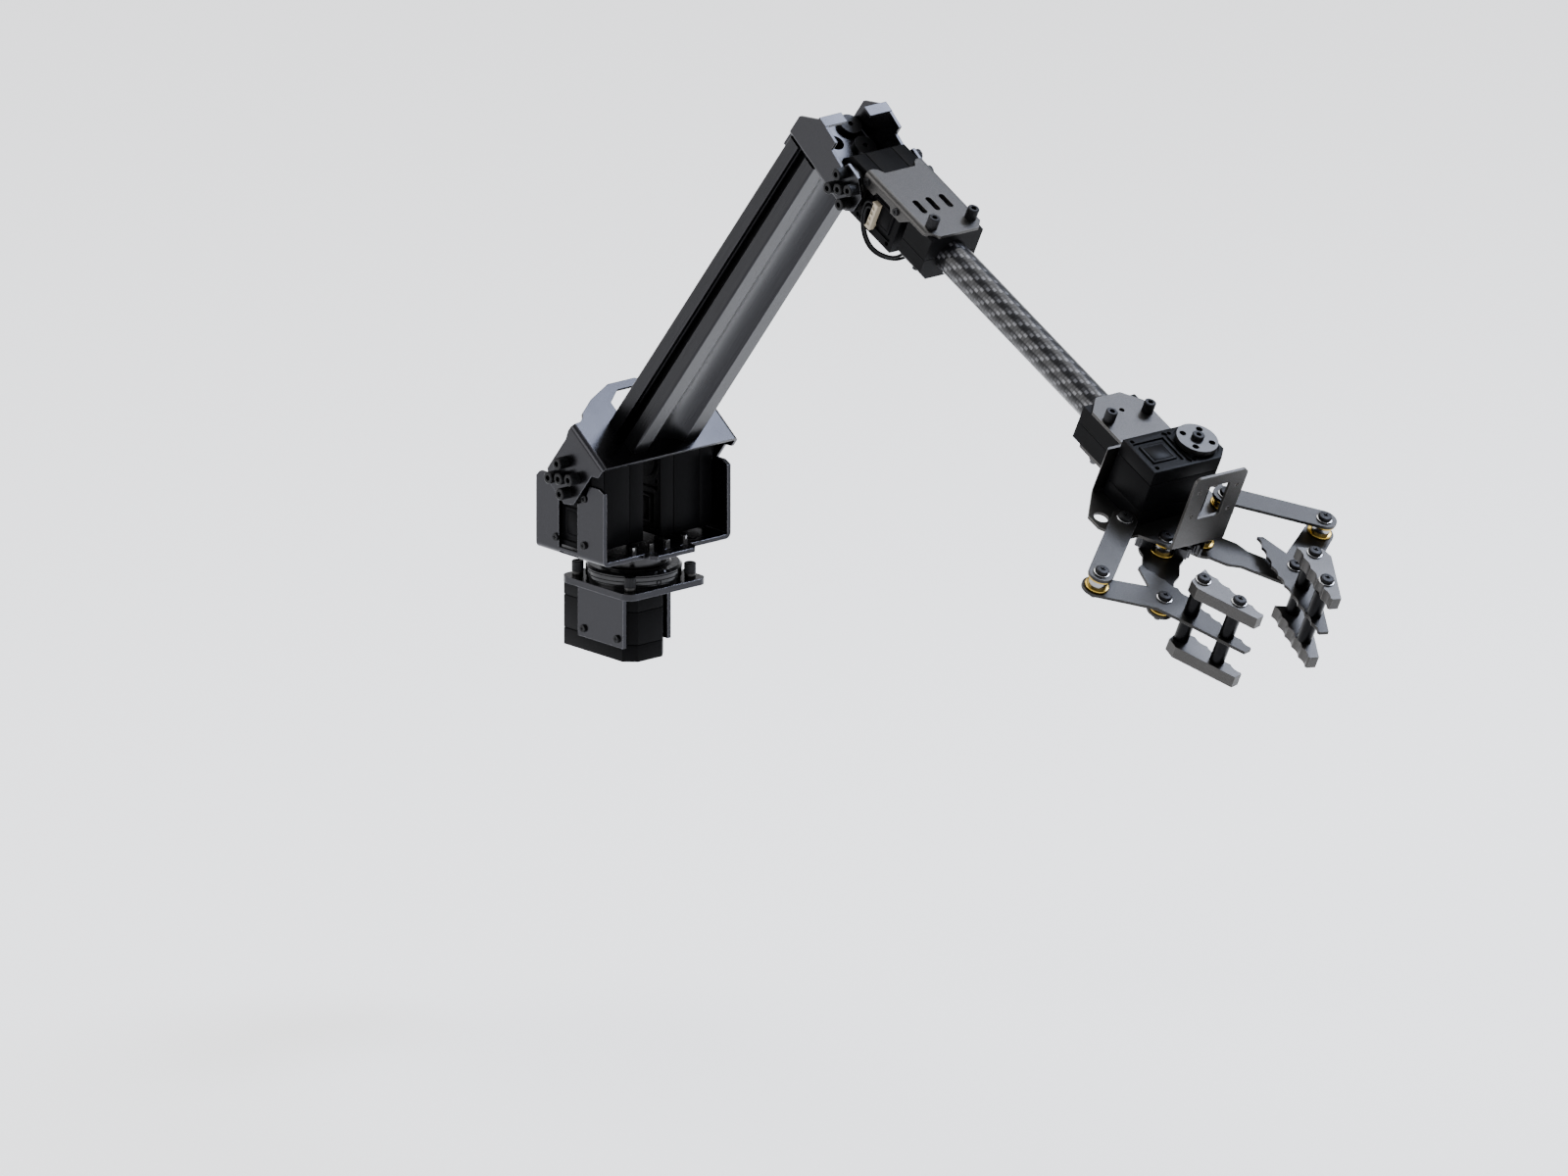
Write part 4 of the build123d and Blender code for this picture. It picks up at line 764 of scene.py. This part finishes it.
def servo_model():
    """Moulded servo in three shells, with a framed label panel, a channel and screw holes on its horn faces."""
    case = servo_block(-SERVO_HALF, SERVO_HALF)
    for height in (-SERVO_HALF / 2, SERVO_HALF / 2):
        band = block((-20, -20, height), (40, 20, height + 0.4))
        cut(band, servo_block(height - 1, height + 1, 0.3))
        cut(case, band)
    soften(case, 0.7, 3)
    parts = [case]
    for face, top in ((1, SERVO_HALF), (-1, -SERVO_HALF)):
        low, high = sorted((top - face * 0.8, top + face))
        cut(case, block((13.4, -8.1, low), (31.6, 8.1, high)))
        cut(case, block((10.6, -9.4, low), (12.2, 9.4, high)))
        moat = disc(11.0, low + (face < 0) * 0.2, high, 48)
        cut(moat, disc(8.0, low - 1, high + 1, 48))
        cut(case, moat)
        for along, side in SERVO_HOLES:
            cut(case, disc(1.1, *sorted((top - face * 1.6, top + face)), 20, (along, side)))
        for side in (-9.4, 9.4):
            cut(case, disc(1.5, low, high, 20, (11.4, side)))
        panel_low, panel_high = sorted((top - face * 1.2, top - face * 0.1))
        panel = block((15.6, -5.9, panel_low), (29.4, 5.9, panel_high))
        line_low, line_high = sorted((top - face * 0.28, top + face))
        groove = block((16.9, -4.6, line_low), (28.1, 4.6, line_high))
        cut(groove, block((17.2, -4.3, line_low - 1), (27.8, 4.3, line_high + 1)))
        cut(panel, groove)
        soften(panel, 0.12)
        parts.append(panel)
    servo = join("servo", parts)
    bpy.ops.object.shade_smooth_by_angle(angle=radians(30))
    return servo


def add_servos():
    """The five servos: under the deck, at the shoulder, in the elbow and on the gripper."""
    model = servo_model()
    places = {
        "pan_servo": (axes((0, 0, PAN_FACE - SERVO_HALF), (-1, 0, 0), (0, 0, 1)), "base"),
        "right_shoulder_servo": (axes((0, -SERVO_SPREAD, SHOULDER_HEIGHT), (0, 0, -1), (0, -1, 0)), "turret"),
        "left_shoulder_servo": (axes((0, SERVO_SPREAD, SHOULDER_HEIGHT), (0, 0, -1), (0, 1, 0)), "turret"),
        "elbow_servo": (FORE @ axes((0, 0, 0), (1, 0, 0), (0, -1, 0)), "forearm"),
        "gripper_servo": (FORE @ axes((*GRIPPER_SHAFT, FRAME_TOP + SERVO_HALF), (0, -1, 0), (0, 0, 1)), "forearm"),
    }
    for node, (matrix, body) in places.items():
        copies(node + "_case", model, [matrix], body, "servo_plastic", node)
    bpy.data.objects.remove(model)


# The arm's fasteners, pivots and small parts


def horn_places(base, centre, side, facing):
    """Places of the four screws and the middle one on a servo horn."""
    ring = [(cos(radians(45 + 90 * k)) * HORN_CIRCLE, sin(radians(45 + 90 * k)) * HORN_CIRCLE) for k in range(4)]
    return [spot(base, (centre[0] + a, side, centre[1] + b), facing, 13 * a) for a, b in ring + [(0, 0)]]


def add_cap_screws():
    """Cap screws of the shoulder, the elbow, the clamps, the deck and the gripper's horn."""
    short = cap_screw_model(4.2)
    shoulder = horn_places(ARM, (0, 0), HOOD_CHEEK_SIDE, "left") + horn_places(
        ARM, (0, 0), -HOOD_CHEEK_SIDE, "right"
    )
    copies("shoulder_cap_screws", short, shoulder, "upper_arm", "black_screw", "shoulder_horn_screws")
    centre = (ELBOW_ALONG, -ELBOW_DROP)
    hinge = horn_places(ARM, centre, ELBOW_CHEEK_SIDE, "left") + horn_places(
        ARM, centre, -ELBOW_CHEEK_SIDE, "right"
    )
    copies("elbow_cap_screws", short, hinge, "upper_arm", "black_screw", "elbow_horn_screws")
    bpy.data.objects.remove(short)
    tall = cap_screw_model(24.5, 5.4)
    clamps = [
        spot(FORE, (along, side * out, height), "up", 20)
        for along, out, height in (ELBOW_CLAMP_SCREWS, WRIST_CLAMP_SCREWS)
        for side in (-1, 1)
    ]
    copies("clamp_cap_screws", tall, clamps, "forearm", "black_screw", "clamp_screws")
    bpy.data.objects.remove(tall)
    deck = cap_screw_model(5.0, 4.6)
    spacer = disc(2.6, 0, DECK_SPACER, 40)
    soften(spacer, 0.15)
    corners = [(x * DECK_SCREW_SIDE, y * DECK_SCREW_SIDE) for x in (-1, 1) for y in (-1, 1)]
    copies("deck_cap_screws", deck, [spot(ROW, (*c, DECK_SPACER)) for c in corners], "base", "black_screw")
    copies("deck_spacers", spacer, [spot(ROW, (*c, 0.0)) for c in corners], "base", "horn_satin")
    low_head = cap_screw_model(4.2, 1.9, 2.9)
    middle = spot(FORE, (*GRIPPER_SHAFT, GRIPPER_HORN_TOP), "up", 10)
    copies("gripper_horn_screw", low_head, [middle], "gripper_drive", "black_screw")
    for used in (deck, spacer, low_head):
        bpy.data.objects.remove(used)


def add_small_screws():
    """Button screws on the turret's front tabs and a grub screw in the ring."""
    button = disc(1.9, 0, 0.7, 28)
    soften(button, 0.3, 3)
    cut(button, disc(0.8, 0.3, 2.0, 6))
    tabs = [spot(ROW, (9.6, side * TAB_SIDE, 45.5), facing) for side, facing in ((-1, "right"), (1, "left"))]
    copies("tab_button_screws", button, tabs, "turret", "black_screw")
    bpy.data.objects.remove(button)
    grub = disc(1.4, -0.6, 0.2, 24)
    cut(grub, disc(0.7, -0.3, 2.0, 6))
    soften(grub, 0.08)
    aim = radians(-10)
    side_on = axes((RING_RADIUS * cos(aim), RING_RADIUS * sin(aim), 2.1), (0, 0, 1), (cos(aim), sin(aim), 0))
    copies("ring_grub_screw", grub, [side_on], "base", "black_screw")
    bpy.data.objects.remove(grub)


def add_plug():
    """Moulded plug on the elbow servo, ribbed along its middle."""
    housing = block((-7.0, -1.9, -0.9), (7.0, 1.9, 2.6))
    for along in (-4.4, -1.5, 1.5, 4.4):
        cut(housing, block((along - 0.9, -0.6, 1.9), (along + 0.9, 0.9, 3.0)))
    cut(housing, block((-6.2, 1.2, 1.2), (6.2, 3.0, 3.0)))
    soften(housing, 0.25)
    where = FORE @ axes((18.4, -SERVO_HALF, -2.3), (0, 0, 1), (0, -1, 0))
    plug = copies("plug_housing", housing, [where], "forearm", "plug_beige", "cable_plug")
    bpy.data.objects.remove(housing)
    return plug


def jaw_column(distance, side):
    turn = radians(JAW_ANGLE)
    along = JAW_START[0] + distance * cos(turn)
    return (along, side * (JAW_START[1] - distance * sin(turn)))


def add_pivots():
    """Pan screws, washers, bushes, rings and nuts of the gripper's pivots and jaws."""
    washer, ring, nut = washer_model(), flange_ring_model(), nut_model()
    groups = []
    both = (-1, 1)
    crank = [(CRANK_PIVOT[0], side * CRANK_PIVOT[1]) for side in both]
    link = [(LINK_PIVOT[0], side * LINK_PIVOT[1]) for side in both]
    groups.append(("frame", "forearm", crank, FRAME_TOP, FRAME_FLOOR, CRANK_TOP, CRANK_BOTTOM, "frame"))
    groups.append(("steer", "forearm", link, LINK_TOP, LINK_BOTTOM, FRAME_TOP, FRAME_FLOOR, "frame"))
    for hand, side in (("right", -1), ("left", 1)):
        body = f"{hand}_finger"
        end = [(LINK_END[0], side * LINK_END[1])]
        heel = [(CRANK_END[0], side * CRANK_END[1])]
        groups.append((f"{hand}_link_end", body, end, LINK_TOP, LINK_BOTTOM, FINGER_TOP, FINGER_BOTTOM, body))
        groups.append((f"{hand}_crank_end", body, heel, FINGER_TOP, FINGER_BOTTOM, CRANK_TOP, CRANK_BOTTOM, body))
    for name, body, places, top, high, low, bottom, owner in groups:
        core = bush_model(high - low - 2 * CORE_GAP)
        screw = pan_screw_model(top - bottom + SCREW_TAIL)
        at = lambda height, facing="up": [spot(FORE, (*place, height), facing, 25) for place in places]
        rings = at(low + RING_GAP) + at(high - RING_THICK - RING_GAP)
        copies(f"{name}_washers", washer, at(top), body, "core_chrome")
        copies(f"{name}_screws", screw, at(top + WASHER_THICK), body, "black_screw", f"{owner}_screws")
        copies(f"{name}_cores", core, at(low + CORE_GAP), body, "core_chrome", f"{owner}_bushes")
        copies(f"{name}_rings", ring, rings, body, "bush_brass")
        owner_nuts = "forearm_nuts" if owner == "frame" else f"{owner}_nuts"
        copies(f"{name}_nuts", nut, at(bottom - CORE_GAP, "down"), body, "steel_nut", owner_nuts)
        for used in (core, screw):
            bpy.data.objects.remove(used)
    wrist = [spot(FORE, (WRIST_CLAMP_SCREWS[0], side * WRIST_CLAMP_SCREWS[1], -10.3), "down") for side in both]
    copies("wrist_nuts", nut, wrist, "forearm", "steel_nut")
    long_screw = pan_screw_model(JAW_STACK)
    for hand, side in (("right", -1), ("left", 1)):
        columns = [jaw_column(0, side), jaw_column(JAW_PITCH, side)]
        tops = [spot(FORE, (*c, UPPER_JAW_TOP), "up", 40) for c in columns]
        heads = [spot(FORE, (*c, UPPER_JAW_TOP + WASHER_THICK), "up", 40) for c in columns]
        copies(f"{hand}_jaw_washers", washer, tops, f"{hand}_finger", "core_chrome")
        copies(f"{hand}_jaw_screws", long_screw, heads, f"{hand}_finger", "black_screw")
    for used in (washer, ring, nut, long_screw):
        bpy.data.objects.remove(used)


make_finishes()
set_camera()
add_wires()
set_floor()
set_light()
dress_nodes()
add_servos()
add_cap_screws()
add_small_screws()
add_pivots()
